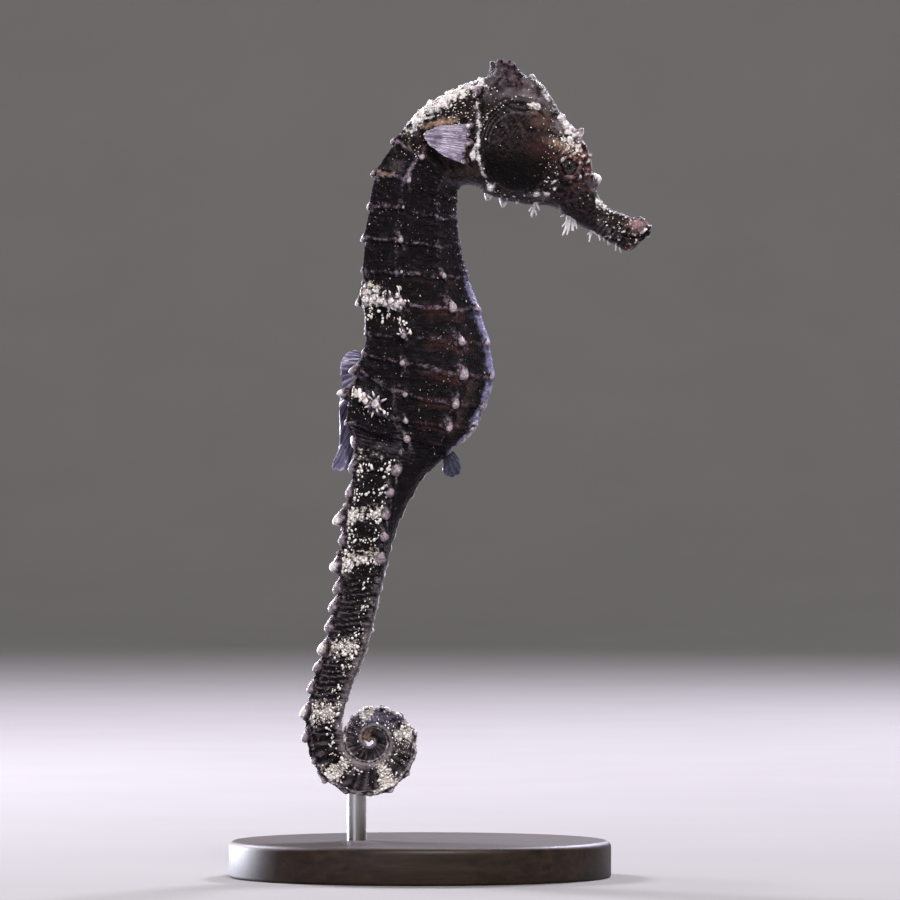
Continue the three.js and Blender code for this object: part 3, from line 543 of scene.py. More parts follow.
def head_relief():
    out = np.zeros_like(X)
    face = FLANK_FACE
    away = np.hypot((X - PLATE_X) / PLATE_LONG, (Z - PLATE_Z) / PLATE_HIGH)
    turn = np.degrees(np.arctan2(Z - PLATE_Z, X - PLATE_X))
    rim = np.clip(smooth(30, 60, turn) + smooth(-60, -100, turn) * .8, 0, 1)
    out += .5 * np.clip(1 - away**4, 0, 1) * face
    out -= .28 * bell(away - 1.03, .045) * face * (.25 + .75 * rim)
    out += .14 * bell(away - 1.13, .05) * face * (.25 + .75 * rim)
    upper_arc = band(38, 66, 160, 176, turn)
    for place in (.8, .9, 1.0, 1.1):
        out += .12 * bell(away - place, .026) * upper_arc * face
        masks["grey"] += .85 * bell(away - place, .026) * upper_arc * face
        masks["shade"] += .8 * bell(away - place - .05, .024) * upper_arc * face
    rays = np.arctan2(Z - 95.6, X - 17.8)
    fan = np.sin(rays * 62 + .6 * clouds)  # fine rays over the cheek plate
    spread = band(.2, .45, .78, .9, away)
    out += .025 * fan * face * spread
    # Pale grey on the rays' crests over the plate's upper part: the striations with a painted sheen.
    masks["grey"] += .62 * np.clip(fan, 0, 1) ** 2 * face * spread * smooth(20, 90, turn) * (1 + .5 * clots)
    # Painted shade in the groove round the plate's rim and over the plate's lower half.
    masks["shade"] += (
        (bell(away - 1.03, .05) * .7 * (.3 + .7 * rim)
        + smooth(.15, -.45, (Z - PLATE_Z) / PLATE_HIGH) * (1 - smooth(.85, 1, away)) * .8) * face
    )
    gill = from_path(GILL_EDGE)
    thick = .36 + .14 * clots
    out += .32 * bell(gill, .34) * face
    out -= .22 * bell(from_path([(x + .6, z) for x, z in GILL_EDGE]), .18) * face
    masks["crust"] += (.5 + .42 * np.clip(clots + .25, 0, 1)) * bell(gill, thick) * face
    edge = from_path(BROW_EDGE)
    lay("crust", (.45 + .3 * smooth(106, 103, Z) + .5 * clots) * bell(edge, .5))
    out += .22 * bell(edge, .45) * (1 + clots)
    nose = from_path(NOSE_EDGE)
    lay("tan", .7 * bell(nose, .4))
    fold = from_path(FOLD)
    out += .16 * bell(fold, .28) * face
    lay("rust", .8 * bell(from_path([(x + .3, z) for x, z in FOLD]), .25) * face)
    brow = np.maximum(patch(20.8, 99.2, 2.1, 1.25, -12), patch(22.3, 97.4, .75, 1.7, 0)) * face
    out += .42 * brow * knots
    lay("tan", brow * smooth(-.25, .1, knots))
    # Painted shade in the pits between the brow's knots.
    lay("shade", .9 * brow * smooth(0, -.35, knots))
    lay("crust", brow * smooth(.08, .35, knots))
    bridge = np.maximum(patch(24.6, 91.3, 1.6, .7, -38), patch(19.6, 102.6, .7, 2.2, 38)) * face
    out += .2 * bridge * knots
    lay("crust", bridge * smooth(-.15, .3, knots))
    away_eye = np.hypot(X - EYE_X, Z - EYE_Z)
    out += (
        (.42 * (1 - smooth(1.6, 2.7, away_eye)) - .16 * bell(away_eye - 2.4, .3)) * face
        + .16 * knots * bell(away_eye - 2.0, .45) * face
    )
    lay("lip", .7 * np.maximum(patch(22.6, 95.9, .6, 1.3, 10), patch(20.9, 94.6, 1.5, .5, 12))
        * smooth(-.3, .2, knots) * face)
    lay("crust", .8 * patch(19.2, 97.4, .5, .3, 35) * face)
    masks["shade"] += .3 * (away < .95) * face
    for i, size in enumerate((1.75, 2.1, 2.5)):
        out += .08 * bell(away_eye - size, .1) * face * (Z > EYE_Z + .5 * i)
    out -= 2.0 * (1 - smooth(LID - .2, LID, away_eye)) * face
    for x, z, long, high, turned, rise, crust in HEAD_LUMPS:
        shape = patch(x, z, long, high, turned) * face
        out += rise * shape**1.3 * (1 + .8 * knots)
        lay("crust", crust * np.clip(shape * (1.3 + .8 * knots), 0, 1))
    for x, z, long, high, turned, name, strength in HEAD_TINTS:
        lay(name, strength * patch(x, z, long, high, turned) * (R < 2.6))
    mouth = from_path(MOUTH)
    at_mouth = (R < -12.6).astype(float)
    out -= .2 * bell(mouth, .12) * at_mouth
    out += .2 * bell(mouth - .36, .17) * at_mouth
    # Painted shade in the mouth's cleft; above it a pale rim with a painted highlight on the upper lip, and
    # painted glints over the lips.
    masks["shade"] += .6 * bell(mouth, .11) * at_mouth * (.7 + clots)
    lay("crust", .62 * bell(mouth - .4, .2) * at_mouth * (Z > 86.9) * (.6 + clots)
        + .5 * at_mouth * smooth(.1, .5, knots))
    snout = band(-10.6, -11.6, -14.6, -15.4, R)
    slant = (X * .8 - Z * .6) * 2 * np.pi / .62 + 2.2 * clouds
    out += .06 * snout * np.sin(slant) * FLANK_FACE
    # Pale grey along the crests of the snout's oblique folds: painted highlight.
    masks["grey"] += .4 * snout * np.clip(np.sin(slant), 0, 1) * FLANK_FACE
    return out * HEAD


lift += ring_relief()
knobs_on_rings()
lift += head_relief()

# The keel, the pouch's rim and the front of the tail.
keel = smooth(6.25, 6.7, L) * band(4.4, 6.0, 11.0, 11.7, R)
# The keel's lavender and pale crust are partly the skin's own colour and partly painted rim light.
masks["lavender"] += 1.1 * keel
lay("crust", (.42 + .3 * clots) * keel * smooth(7.4, 8.8, R))
lift += .22 * smooth(6.0, 6.9, L) * band(3.6, 5.2, 10.2, 10.9, R) * (1 + .25 * clots)
lay("grey", .7 * smooth(6.5, 6.9, L) * band(11.2, 12.0, 17, 18, R))
masks["stripe"] += (
    (.5 * smooth(2.5, 3.0, L) + .4 * smooth(3.0, 5.0, L) + .35 * smooth(5.5, 6.8, L))
    * smooth(14.5, 20.5, R + 1.5 * clouds) * (1 + .5 * clots)
)
belly_bands = band(3.3, 4.2, 5.6, 6.2, L) * band(4.5, 6, 10.5, 11.3, R)
lay("warm", .75 * belly_bands * (.5 + .5 * np.cos(2 * np.pi * (RING - .12))))
lay("rust", .2 * belly_bands * bell(RING - np.round(RING) - .12, .16) * smooth(6.5, 7, R))
lay("ochre", .5 * bell(L - 5.6, .5) * band(7.5, 8.5, 10, 10.8, R))
lay("grey", .45 * bell(R - 11.4, .7) * (L < 3.6))
lay("grey", .42 * smooth(25, 29, R) * (1 + .8 * clots))
masks["stripe"] *= 1 + .25 * smooth(18, 22, R) + .5 * smooth(24, 28, R)
lay("ochre", .6 * smooth(25, 30, R) * smooth(3.0, 3.6, L))
lay("tan", .8 * smooth(45.5, 47, R))
# Painted shade along the belly's edge of the trunk.
lay("shade", .55 * band(5.3, 5.7, 6.1, 6.5, L) * band(1, 3, 10.5, 11.2, R))
lay("lavender", .5 * bell(R - 35.5, 2.6) * (1 - smooth(2.4, 3.0, L)))
# Lavender on the trunk's front edge: partly lavender skin, partly painted rim light.
lay("lavender", .2 * smooth(5.0, 6.5, L) * band(2.5, 4.5, 8, 9, R))
lay("warm", .6 * bell(R - 35.5, 3) * (L < 2.6))
# Pale stripe and white crust along the coil's outer back edge: partly pale skin, partly painted rim light.
lay("stripe", 1.1 * smooth(23, 27, R) * (1 - smooth(.35, .9, L)))
outer_edge = smooth(26, 29, R) * (1 - smooth(1.15, 1.5, L))
lay("stripe", 1.1 * outer_edge)
lay("crust", (.5 + .5 * clots) * outer_edge)
# A thin white line along the tail's front edge: painted rim highlight.
lay("crust", .85 * smooth(6.6, 6.9, L + .6 * smooth(16, 18, R)) * smooth(11.5, 13, R) * (1 + .5 * clots))
lay("rust", .4 * smooth(17, 18, R) * bell(L - 1.3, .35) * (.5 + .5 * clouds))

# Cream saddles over the back: [middle ring, half length in rings, lowest line, strength].
SADDLES = [
    [-1.3, 1.2, 1.9, 1.0], [5.6, .35, 2.1, .8], [6.0, .16, 3.3, 1.1], [6.45, .4, 2.9, .3],
    [9.82, .2, 2.3, .9], [12.3, .5, 2.7, .5], [13.2, .4, 2.9, .3], [14.9, .5, 3.1, .7],
    [16.0, .4, 2.9, .35], [16.85, .5, 3.1, .8], [21.0, .5, 2.9, .85], [24.0, .55, 2.9, .9],
    [27.0, .55, 3.0, 1.0], [30.0, .55, 3.1, 1.15], [33.0, .5, 2.8, 1.15], [36.0, .55, 2.5, 1.2],
]
for middle, long, lowest, strength in SADDLES:
    there = bell(RING - middle, long) * (1 - smooth(lowest - 0.5, lowest + 0.3, L))
    lay("cream", strength * there)
for middle in (15, 17, 27, 30, 33, 36):
    lay("crust", 1.0 * bell(RING - middle, .38) * (1 - smooth(1.2, 2.1, L + .4 * clots)))
dark_spot = patch(6.2, 104.6, 1.6, 1.1, 20) * (R > -3.4)
frost = bell(RING - 5.93, .13) * band(.1, .4, 3.1, 3.3, L)
lay("crust", .8 * frost)
lift += .3 * frost * np.clip(knots + .2, 0, 1)
nape = band(-3.2, -2.4, .3, 1.0, R) * (1 - smooth(1.5, 2.3, L + .4 * clots))
lay("crust", (.72 + .5 * clots - .6 * np.clip(-knots, 0, 1)) * nape * (1 - dark_spot))
masks["cream"] *= 1 - dark_spot
crusted = np.maximum(masks["cream"] * band(-3, -2.4, .5, 1.2, R), masks["crust"])
lift += (.3 + .3 * nape) * crusted * np.clip(clots + .2, 0, 1) + .12 * nape * knots

lift += .06 * noise_at(body, 1.1, 3.0) * np.clip(depth / 9, .1, 1)[:, None]
taper_ends = smooth(0, 1, np.minimum(shrink, 1)[:, None])
surface = body + normal * (lift * taper_ends)[:, :, None]
surface[:, 0] = surface[:, -1] = (surface[:, 0] + surface[:, -1]) / 2
surface[:, 0, 1] = surface[:, -1, 1] = 0
final_normal = outward(surface)
if (final_normal * normal).sum() < 0:
    final_normal = -final_normal
cell = np.linalg.norm(np.cross(np.gradient(surface, axis=0), np.gradient(surface, axis=1)), axis=2)

# ---------- the skin's flat layout ----------

# The skin is laid out in four strips, each as wide as the body is round, with the keel along its middle.
LAYOUT = 94.0  # millimetres of skin along the layout's side
STRIPS = [(-18, 1.0, 24.0), (-2, 40.0, 24.0), (11.5, 1.0, 61.0), (25, 46.0, 58.0)]  # first ring, left, middle
row_length = along.mean(1)
row_strip = np.searchsorted([first for first, _, _ in STRIPS[1:]], ring_of_row, side="right")


def at(field, row, column):
    """A field of the skin, read at fractional rows and columns."""
    r0, c0 = np.floor(row).astype(int), np.floor(column).astype(int)
    r1, c1 = np.minimum(r0 + 1, ROWS - 1), np.minimum(c0 + 1, COLS - 1)
    fr, fc = (row - r0), (column - c0)
    if field.ndim == 3:
        fr, fc = fr[:, None], fc[:, None]
    upper = field[r0, c0] * (1 - fc) + field[r0, c1] * fc
    return upper * (1 - fr) + (field[r1, c0] * (1 - fc) + field[r1, c1] * fc) * fr


def layout_place(row, column, strip):
    """Layout coordinates of a place given by fractional row and column."""
    across = at(around - around[:, -1:] / 2, row, column)
    length = np.interp(row, np.arange(ROWS), row_length)
    start = np.array([row_length[np.abs(ring_of_row - first).argmin()] for first, _, _ in STRIPS])[strip]
    left, middle = np.array([place for _, *place in STRIPS]).T[:, strip]
    return np.stack([(left + length - start) / LAYOUT, (middle + across) / LAYOUT], -1)


# ---------- helpers for modelling ----------


def only(piece):
    bpy.ops.object.select_all(action="DESELECT")
    piece.select_set(True)
    bpy.context.view_layer.objects.active = piece
    return piece


def named(name):
    made = bpy.context.object
    made.name = made.data.name = name
    return made


def edit(piece, action, **settings):
    """Runs one edit-mode operator on the whole of a piece."""
    only(piece)
    bpy.ops.object.mode_set(mode="EDIT")
    bpy.ops.mesh.select_all(action="SELECT")
    action(**settings)
    bpy.ops.object.mode_set(mode="OBJECT")


def settle(piece):
    only(piece)
    bpy.ops.object.transform_apply(location=True, rotation=True, scale=True)
    return piece


def shade(piece, angle=None):
    only(piece)
    if angle is None:
        bpy.ops.object.shade_smooth()
    else:
        bpy.ops.object.shade_smooth_by_angle(angle=math.radians(angle))
    return piece


def places(piece):
    co = np.zeros(len(piece.data.vertices) * 3)
    piece.data.vertices.foreach_get("co", co)
    return co.reshape(-1, 3)


def put(piece, points):
    piece.data.vertices.foreach_set("co", np.asarray(points, float).ravel())
    piece.data.update()


def grid(name, columns, rows_, to_place):
    """A grid of quads whose points to_place moves from their (column, row) to their place in millimetres."""
    bpy.ops.object.select_all(action="DESELECT")
    bpy.ops.mesh.primitive_grid_add(x_subdivisions=columns - 1, y_subdivisions=rows_ - 1, size=1)
    piece = named(name)
    co = places(piece)
    column = np.rint((co[:, 0] + 0.5) * (columns - 1)).astype(int)
    row = np.rint((co[:, 1] + 0.5) * (rows_ - 1)).astype(int)
    put(piece, to_place(column, row) * MM)
    return piece, column, row


def corners(piece):
    """The vertex at each corner of a piece's faces."""
    corner = np.zeros(len(piece.data.loops), int)
    piece.data.loops.foreach_get("vertex_index", corner)
    return corner


def copies(name, points, faces):
    """One piece of many copies of a model: points has each copy's own points, faces the model's faces."""
    mesh = bpy.data.meshes.new(name)
    starts = range(0, points.shape[0] * points.shape[1], points.shape[1])
    all_faces = [[v + start for v in face] for start in starts for face in faces]
    mesh.from_pydata((points.reshape(-1, 3) * MM).tolist(), [], all_faces)
    mesh.uv_layers.new(name="OFBake")
    piece = bpy.data.objects.new(name, mesh)
    bpy.context.scene.collection.objects.link(piece)
    return piece


def join(whole, parts):
    """Joins small pieces to a whole, which keeps its name."""
    bpy.ops.object.select_all(action="DESELECT")
    for part in (*parts, whole):
        part.select_set(True)
    bpy.context.view_layer.objects.active = whole
    bpy.ops.object.join()
    shade(whole)


def set_mark(piece, name, values):
    mark = piece.data.attributes.get(name) or piece.data.attributes.new(name, "FLOAT", "POINT")
    mark.data.foreach_set("value", np.asarray(values, np.float32).ravel())


def set_layout(piece, coordinates):
    layer = piece.data.uv_layers.get("OFBake") or piece.data.uv_layers[0]
    layer.name = "OFBake"
    layer.data.foreach_set("uv", np.asarray(coordinates, np.float32).ravel())


# ---------- the skin ----------

MARKS = sorted(masks)
WELD = .008 * MM


def make_skin():
    skin, column, row = grid("skin", COLS, ROWS, lambda c, r: surface[r, c])
    corner = corners(skin)
    starts = np.zeros(len(skin.data.polygons), int)
    skin.data.polygons.foreach_get("loop_start", starts)
    first_row = np.minimum.reduceat(row[corner], starts)
    counts = np.diff(np.append(starts, len(corner)))
    strip = np.repeat(row_strip[first_row], counts)
    set_layout(skin, layout_place(row[corner].astype(float), column[corner].astype(float), strip))
    for name in MARKS:
        set_mark(skin, name, np.clip(masks[name], 0, 1)[row, column])
    set_mark(skin, "ring", ring_of_row[row])
    set_mark(skin, "line", line_of_column[column])
    edit(skin, bpy.ops.mesh.remove_doubles, threshold=WELD)
    edit(skin, bpy.ops.mesh.normals_make_consistent, inside=False)
    return shade(skin)


skin = make_skin()


# ---------- pieces of flesh that grow out of the skin ----------


def lay_out_small(piece, left, bottom, size):
    """Unwraps a small piece into its own square of the skin's layout."""
    only(piece)
    bpy.ops.object.mode_set(mode="EDIT")
    bpy.ops.mesh.select_all(action="SELECT")
    bpy.ops.uv.smart_project(angle_limit=math.radians(60), island_margin=0.02)
    bpy.ops.object.mode_set(mode="OBJECT")
    layer = piece.data.uv_layers[0]
    layer.name = "OFBake"
    flat = np.zeros(len(layer.data) * 2)
    layer.data.foreach_get("uv", flat)
    flat = flat.reshape(-1, 2) * size + (left, bottom)
    layer.data.foreach_set("uv", flat.ravel().astype(np.float32))


def mark_small(piece, ring=-3.0, **values):
    """Gives a small piece of flesh the skin's marks, each one value or an array."""
    count = len(piece.data.vertices)
    for name in MARKS:
        set_mark(piece, name, np.broadcast_to(values.get(name, 0.0), count))
    set_mark(piece, "ring", np.broadcast_to(ring, count))
    set_mark(piece, "line", np.full(count, 0.0))


def rounded(piece, levels=1):
    only(piece)
    smoother = piece.modifiers.new("rounding", "SUBSURF")
    smoother.levels = smoother.render_levels = levels
    bpy.ops.object.modifier_apply(modifier=smoother.name)
    return shade(piece)


# The coronet's outline at each height: [z, middle x, half length, half width, depth of the hollows].
CORONET_ROWS = [
    [106.9, 12.4, 4.3, 3.4, 0], [108.2, 12.1, 3.3, 2.5, .02], [108.9, 11.9, 2.75, 2.05, .05],
    [109.5, 11.72, 2.36, 1.8, .1], [110.1, 11.6, 2.14, 1.72, .14], [110.65, 11.5, 2.05, 1.8, .17],
    [111.05, 11.42, 1.95, 1.8, .18], [111.22, 11.4, 1.72, 1.6, .17], [110.95, 11.4, 1.3, 1.15, .12],
    [110.6, 11.4, .7, .6, .05], [110.5, 11.4, .2, .18, 0],
]


def make_coronet():
    sides = 60
    bpy.ops.object.select_all(action="DESELECT")
    bpy.ops.mesh.primitive_circle_add(vertices=sides, radius=1, fill_type="NGON")
    piece = named("coronet_flesh")
    z0, x0, long, wide, _ = CORONET_ROWS[0]
    put(piece, places(piece) * (long * MM, wide * MM, 0) + (x0 * MM, 0, z0 * MM))
    bpy.ops.object.mode_set(mode="EDIT")
    bpy.ops.mesh.select_all(action="SELECT")
    for before, row in zip(CORONET_ROWS, CORONET_ROWS[1:]):
        move = Vector((row[1] - before[1], 0, row[0] - before[0])) * MM
        bpy.ops.mesh.extrude_region_move(TRANSFORM_OT_translate={"value": move})
        centre = Vector((row[1], 0, row[0])) * MM
        bpy.ops.transform.resize(value=(row[2] / before[2], row[3] / before[3], 1), center_override=centre)
    bpy.ops.object.mode_set(mode="OBJECT")
    edit(piece, bpy.ops.mesh.normals_make_consistent, inside=False)
    co = places(piece) / MM
    heights = np.array([row[0] for row in CORONET_ROWS])
    shape = np.array([CORONET_ROWS[np.abs(heights - z).argmin()] for z in co[:, 2]])
    dx, dy = co[:, 0] - shape[:, 1], co[:, 1]
    turn = np.arctan2(dy / shape[:, 3], dx / shape[:, 2])
    lobe = np.cos(5 * (turn - np.pi))
    inwards = (1 - lobe) / 2
    top = smooth(109.0, 111.0, co[:, 2])
    co[:, 0] = shape[:, 1] + dx * (1 - shape[:, 4] * inwards)
    co[:, 1] = dy * (1 - shape[:, 4] * inwards)
    out_there = np.clip(np.hypot(dx / 2.0, dy / 1.8), 0, 1)
    behind = smooth(-.2, -.7, np.cos(turn))
    co[:, 2] -= top * ((.16 + .3 * behind) * inwards + .75 * smooth(.45, 1.0, np.cos(turn))) * out_there
    co[:, 2] -= .12 * top * smooth(-.9, -1, np.cos(turn)) * out_there
    put(piece, co * MM)
    rounded(piece)
    lay_out_small(piece, .88, .8, .11)
    co = places(piece) / MM
    rim = smooth(110.2, 111.0, co[:, 2] + .9 * smooth(12.0, 13.4, co[:, 0]))
    fold = bell(co[:, 0] - (11.2 + .75 * (110.8 - co[:, 2])), .3) * smooth(111.0, 110.4, co[:, 2])
    mottle = noise_at(co, .9)
    mark_small(
        piece, grey=(.5 * (1 - rim) + .3 * mottle) * smooth(13.6, 12.6, co[:, 0]), ridge=.3 * rim + .3,
        warm=.5 * smooth(12.3, 13.2, co[:, 0]), rust=.55 * fold, tan=.3 * rim, crust=.35 * rim * (mottle > 0))
    return piece


def make_lids():
    made = []
    around_eye = (np.abs(np.hypot(X - EYE_X, Z - EYE_Z) - LID - .12) < .14) & (body[:, :, 1] < 0)
    out_there = -surface[around_eye][:, 1].mean() - .06
    for side in (-1, 1):
        bpy.ops.object.select_all(action="DESELECT")
        bpy.ops.mesh.primitive_torus_add(
            location=(EYE_X * MM, side * out_there * MM, EYE_Z * MM), rotation=(math.pi / 2, 0, 0),
            major_segments=96, minor_segments=12, major_radius=(LID + .1) * MM, minor_radius=.3 * MM)
        piece = settle(named("lid"))
        co = places(piece) / MM
        turn = np.arctan2(co[:, 2] - EYE_Z, co[:, 0] - EYE_X)
        wave = 1 + .03 * np.sin(turn * 9 + 1) + .04 * np.sin(turn * 5) + .03 * np.sin(turn * 2 + .8)
        wave += .07 * noise_at(co, .7)
        co[:, 0] = EYE_X + (co[:, 0] - EYE_X) * wave
        co[:, 2] = EYE_Z + (co[:, 2] - EYE_Z) * wave
        co[:, 1] += side * (0.06 * np.sin(turn * 7) + .12 * np.sin(turn) * np.cos(turn))
        put(piece, co * MM)
        shade(piece)
        lay_out_small(piece, .88, .92 - .05 * (side > 0), .045)
        folds = noise_at(places(piece) / MM, .45)
        upper = smooth(.2, .9, np.sin(turn + .35))
        front, under = bell(turn + .1, .45), bell(turn + 1.4, .7)
        # The lid's white on its upper left and on its upper folds is painted highlight, and its dark in the
        # low folds is painted shade.
        mark_small(
            piece, warm=.9, grey=.5 * front + .3 * folds, lip=.8 * under + .5 * front + .5 * folds,
            rust=.8 * upper, crust=np.maximum(.9 * bell(turn - 2.3, .3), .5 * upper * (folds > .1)),
            tan=.5 * upper + folds, shade=.6 * smooth(-.1, -.5, folds))
        made.append(piece)
    return made


join(skin, [make_coronet(), *make_lids()])

# ---------- knobs, spines and threads of skin ----------

LOBE_PATCH, BEAD_PATCH = .0017, .0015  # half of a lobe's and of a bead's patch in the layout

# Blunt spines of the head: [root x, root z, tip x, tip z, root radius, tip's share, y, whiteness].
HEAD_SPINES = [
    [19.6, 98.8, 22.2, 101.75, 1.35, .42, 1.3, .6], [22.1, 94.3, 24.7, 95.0, 1.5, .46, 0, .85],
    [18.2, 101.7, 19.75, 103.5, .8, .4, .9, .8], [11.8, 93.6, 11.2, 91.0, 1.2, .3, 0, .7],
    [10.2, 94.4, 9.0, 91.95, 1.25, .32, 0, .75], [22.4, 97.2, 23.35, 98.35, .5, .5, .8, .5],
    [6.9, 102.0, 6.3, 101.9, .5, .7, 4.1, .8], [6.6, 100.9, 6.4, 100.7, .26, .7, 4.3, .1],
    [6.9, 99.7, 6.3, 99.4, .42, .5, 4.2, .35], [6.3, 98.7, 5.8, 98.5, .25, .7, 4.3, .2],
    [6.2, 97.3, 5.6, 97.0, .48, .5, 4.2, .6], [8.0, 106.6, 7.3, 107.3, .9, .5, 2.4, .35],
    [15.3, 107.6, 15.2, 109.2, .7, .6, .5, .3], [13.3, 92.6, 13.2, 91.5, .5, .3, .6, .4],
]
# Threads of skin under the jaw: a path of [x, z], the root radius and how far out to the side.
THREADS = [
    ([(15.9, 92.6), (15.7, 91.6), (15.35, 90.6), (15.1, 89.5)], .49, 1.0),
    ([(15.8, 91.9), (16.1, 91.2), (16.25, 90.4)], .41, 1.1),
    ([(15.6, 91.4), (15.1, 91.1), (14.7, 90.5)], .27, .9),
    ([(15.5, 90.8), (15.75, 90.4), (15.85, 89.9)], .22, 1.0),
    ([(16.1, 92.4), (16.8, 92.0), (17.3, 91.9)], .35, 1.3),
    ([(20.4, 91.2), (20.1, 89.9), (19.9, 88.6), (19.5, 87.4)], .62, .7),
    ([(20.5, 90.9), (20.5, 89.5), (20.3, 88.2), (20.1, 87.1)], .57, .9),
    ([(20.6, 90.6), (20.8, 89.3), (20.9, 88.2), (20.75, 87.1)], .54, .8),
    ([(20.7, 90.2), (21.1, 89.2), (21.35, 88.2)], .41, 1.0),
    ([(20.2, 90.6), (19.7, 90.1), (19.15, 89.7)], .46, .8),
    ([(20.0, 89.2), (19.6, 88.8), (19.3, 88.3)], .27, .7),
    ([(20.4, 88.6), (20.15, 88.1), (20.2, 87.6)], .24, 1.0),
    ([(21.0, 90.4), (21.6, 89.3), (21.7, 88.5)], .30, .6),
    ([(23.6, 88.9), (23.4, 88.0), (23.15, 87.2), (23.0, 86.3)], .54, .4),
    ([(23.4, 88.0), (22.9, 87.5), (22.6, 87.3)], .27, .4),
    ([(23.5, 88.0), (23.9, 87.5), (24.1, 87.1)], .27, .5),
    ([(24.3, 88.0), (24.35, 87.2), (24.4, 86.5)], .30, .5),
    ([(24.9, 87.7), (25.0, 86.9), (25.1, 86.2)], .30, .5),
    ([(25.5, 87.4), (25.6, 86.6), (25.75, 86.0)], .27, .5),
    ([(26.8, 86.8), (26.75, 85.9), (26.6, 84.95)], .49, .3),
    ([(27.1, 86.5), (27.15, 85.7), (27.3, 84.95)], .43, .3),
]


def row_and_column(point):
    """The place of the skin nearest to a point."""
    away = np.linalg.norm(surface[:, :-1] - np.asarray(point), axis=2)
    return np.unravel_index(away.argmin(), away.shape)


def lobe_marks(count, tall, pale, white, ring):
    """A lobe's marks: pale and white towards the tip, red-brown below the middle, and painted shade at the
    foot.
    """
    return {
        "knob": pale * smooth(-.8, .7, tall), "crust": white * smooth(-.2, .8, tall),
        "rust": .5 * bell(tall + .35, .3), "shade": .25 * smooth(0, -.8, tall),
        "ridge": np.full(count, .5), "ring": np.full(count, ring),
    }


def make_knobs():
    """All blunt lobes: one round model, copied and drawn out at each place."""
    bpy.ops.object.select_all(action="DESELECT")
    bpy.ops.mesh.primitive_uv_sphere_add(segments=12, ring_count=9, radius=1)
    model = named("lobe_model")
    co = places(model)
    faces = [list(f.vertices) for f in model.data.polygons]
    bpy.data.objects.remove(model)
    tall, share = co[:, 2], (co[:, 2] + 1) / 2
    round_way = co[:, :2] / np.maximum(np.hypot(co[:, 0], co[:, 1]), 1e-9)[:, None]
    dome = np.sqrt(np.clip(1 - np.abs(tall) ** 2.6, 0, 1))
    horn = np.sqrt(np.clip(1 - share ** 5, 0, 1)) * (1 + (1 - share) ** 2) * (share > .001)
    headwards = np.maximum(round_way[:, 0], 0)
    points, roots, marks = [], [], []

    def grow(foot, axis, way, radius, tip, stretch, flare, root, pale, white, ring):
        """Draws one copy out along its axis, from a round foot to its tip's share of the radius."""
        across = np.cross(axis / np.linalg.norm(axis), way)
        across /= np.linalg.norm(across)
        wide = (
            (dome + (horn - dome) * flare) * radius * (1 + (tip - 1) * share)
            * (1 + .22 * noise_at(co + 9.3 * len(points), 1.2))
        )
        out = 1 + stretch * headwards * (1 - share)
        outline = way * (round_way[:, 0] * wide * out)[:, None] + across * (round_way[:, 1] * wide)[:, None]
        points.append(foot + axis * share[:, None] + outline)
        roots.append(root)
        marks.append(lobe_marks(len(co), tall, pale, white, ring))

    for row, column, height, radius, tip, stretch, lean, flare, pale, white, petals in lobes:
        up = final_normal[row, column] * .8 + normal[row, column] * .6
        if line_of_column[column] < FLANK:
            up = up + .9 * (body[row, 0] - body[row, len(half)]) / depth[row]
        up /= np.linalg.norm(up)
        way = -tailward[row, column]
        way = way - up * (way @ up)
        way /= np.linalg.norm(way)
        sunk = .6 * radius
        grow(surface[row, column] - up * sunk, up * (height + sunk) - way * lean * height, way, radius, tip,
             stretch, flare, (row, column), pale, white, float(ring_of_row[row]))
        turns = (-1.0, .05, 1.15) if petals == 3 else np.arange(petals) * 2 * math.pi / max(petals, 1) + .4
        for turn in turns:
            turn += float(chance.uniform(-.3, .3)) * (1 if petals > 3 else .3)
            outwards = way * math.cos(turn) + np.cross(up, way) * math.sin(turn)
            reach = radius * float(chance.uniform(1.5, 2.7) if petals > 3 else chance.uniform(2.2, 3.0))
            grow(surface[row, column] - up * .1, outwards * reach + up * .3 * radius, up,
                 .2 if petals > 3 else .15, .8, 0, 0, (row, column), .9, 1.0, float(ring_of_row[row]))
    for x0, z0, x1, z1, radius, tip, y, white in HEAD_SPINES:
        for side in (-1, 1) if y else (1,):
            root, end = np.array([x0, y * side, z0]), np.array([x1, y * side * 1.15, z1])
            way = np.array([z1 - z0, 0, x0 - x1])
            grow(root, end - root, way / np.linalg.norm(way), radius, tip,
                 0, .6, row_and_column(end), .8, white, -4.0)
    piece = copies("skin_knobs", np.array(points), faces)
    rows_, columns_ = np.array(roots, float).T
    root_places = layout_place(rows_, columns_, row_strip[rows_.astype(int)])
    copy, corner = np.divmod(corners(piece), len(co))
    flat = round_way * ((1 - share) * .9 + .1)[:, None]
    set_layout(piece, root_places[copy] + flat[corner] * LOBE_PATCH)
    mark_small(piece, **{name: np.concatenate([m[name] for m in marks]) for name in marks[0]})
    return shade(piece)


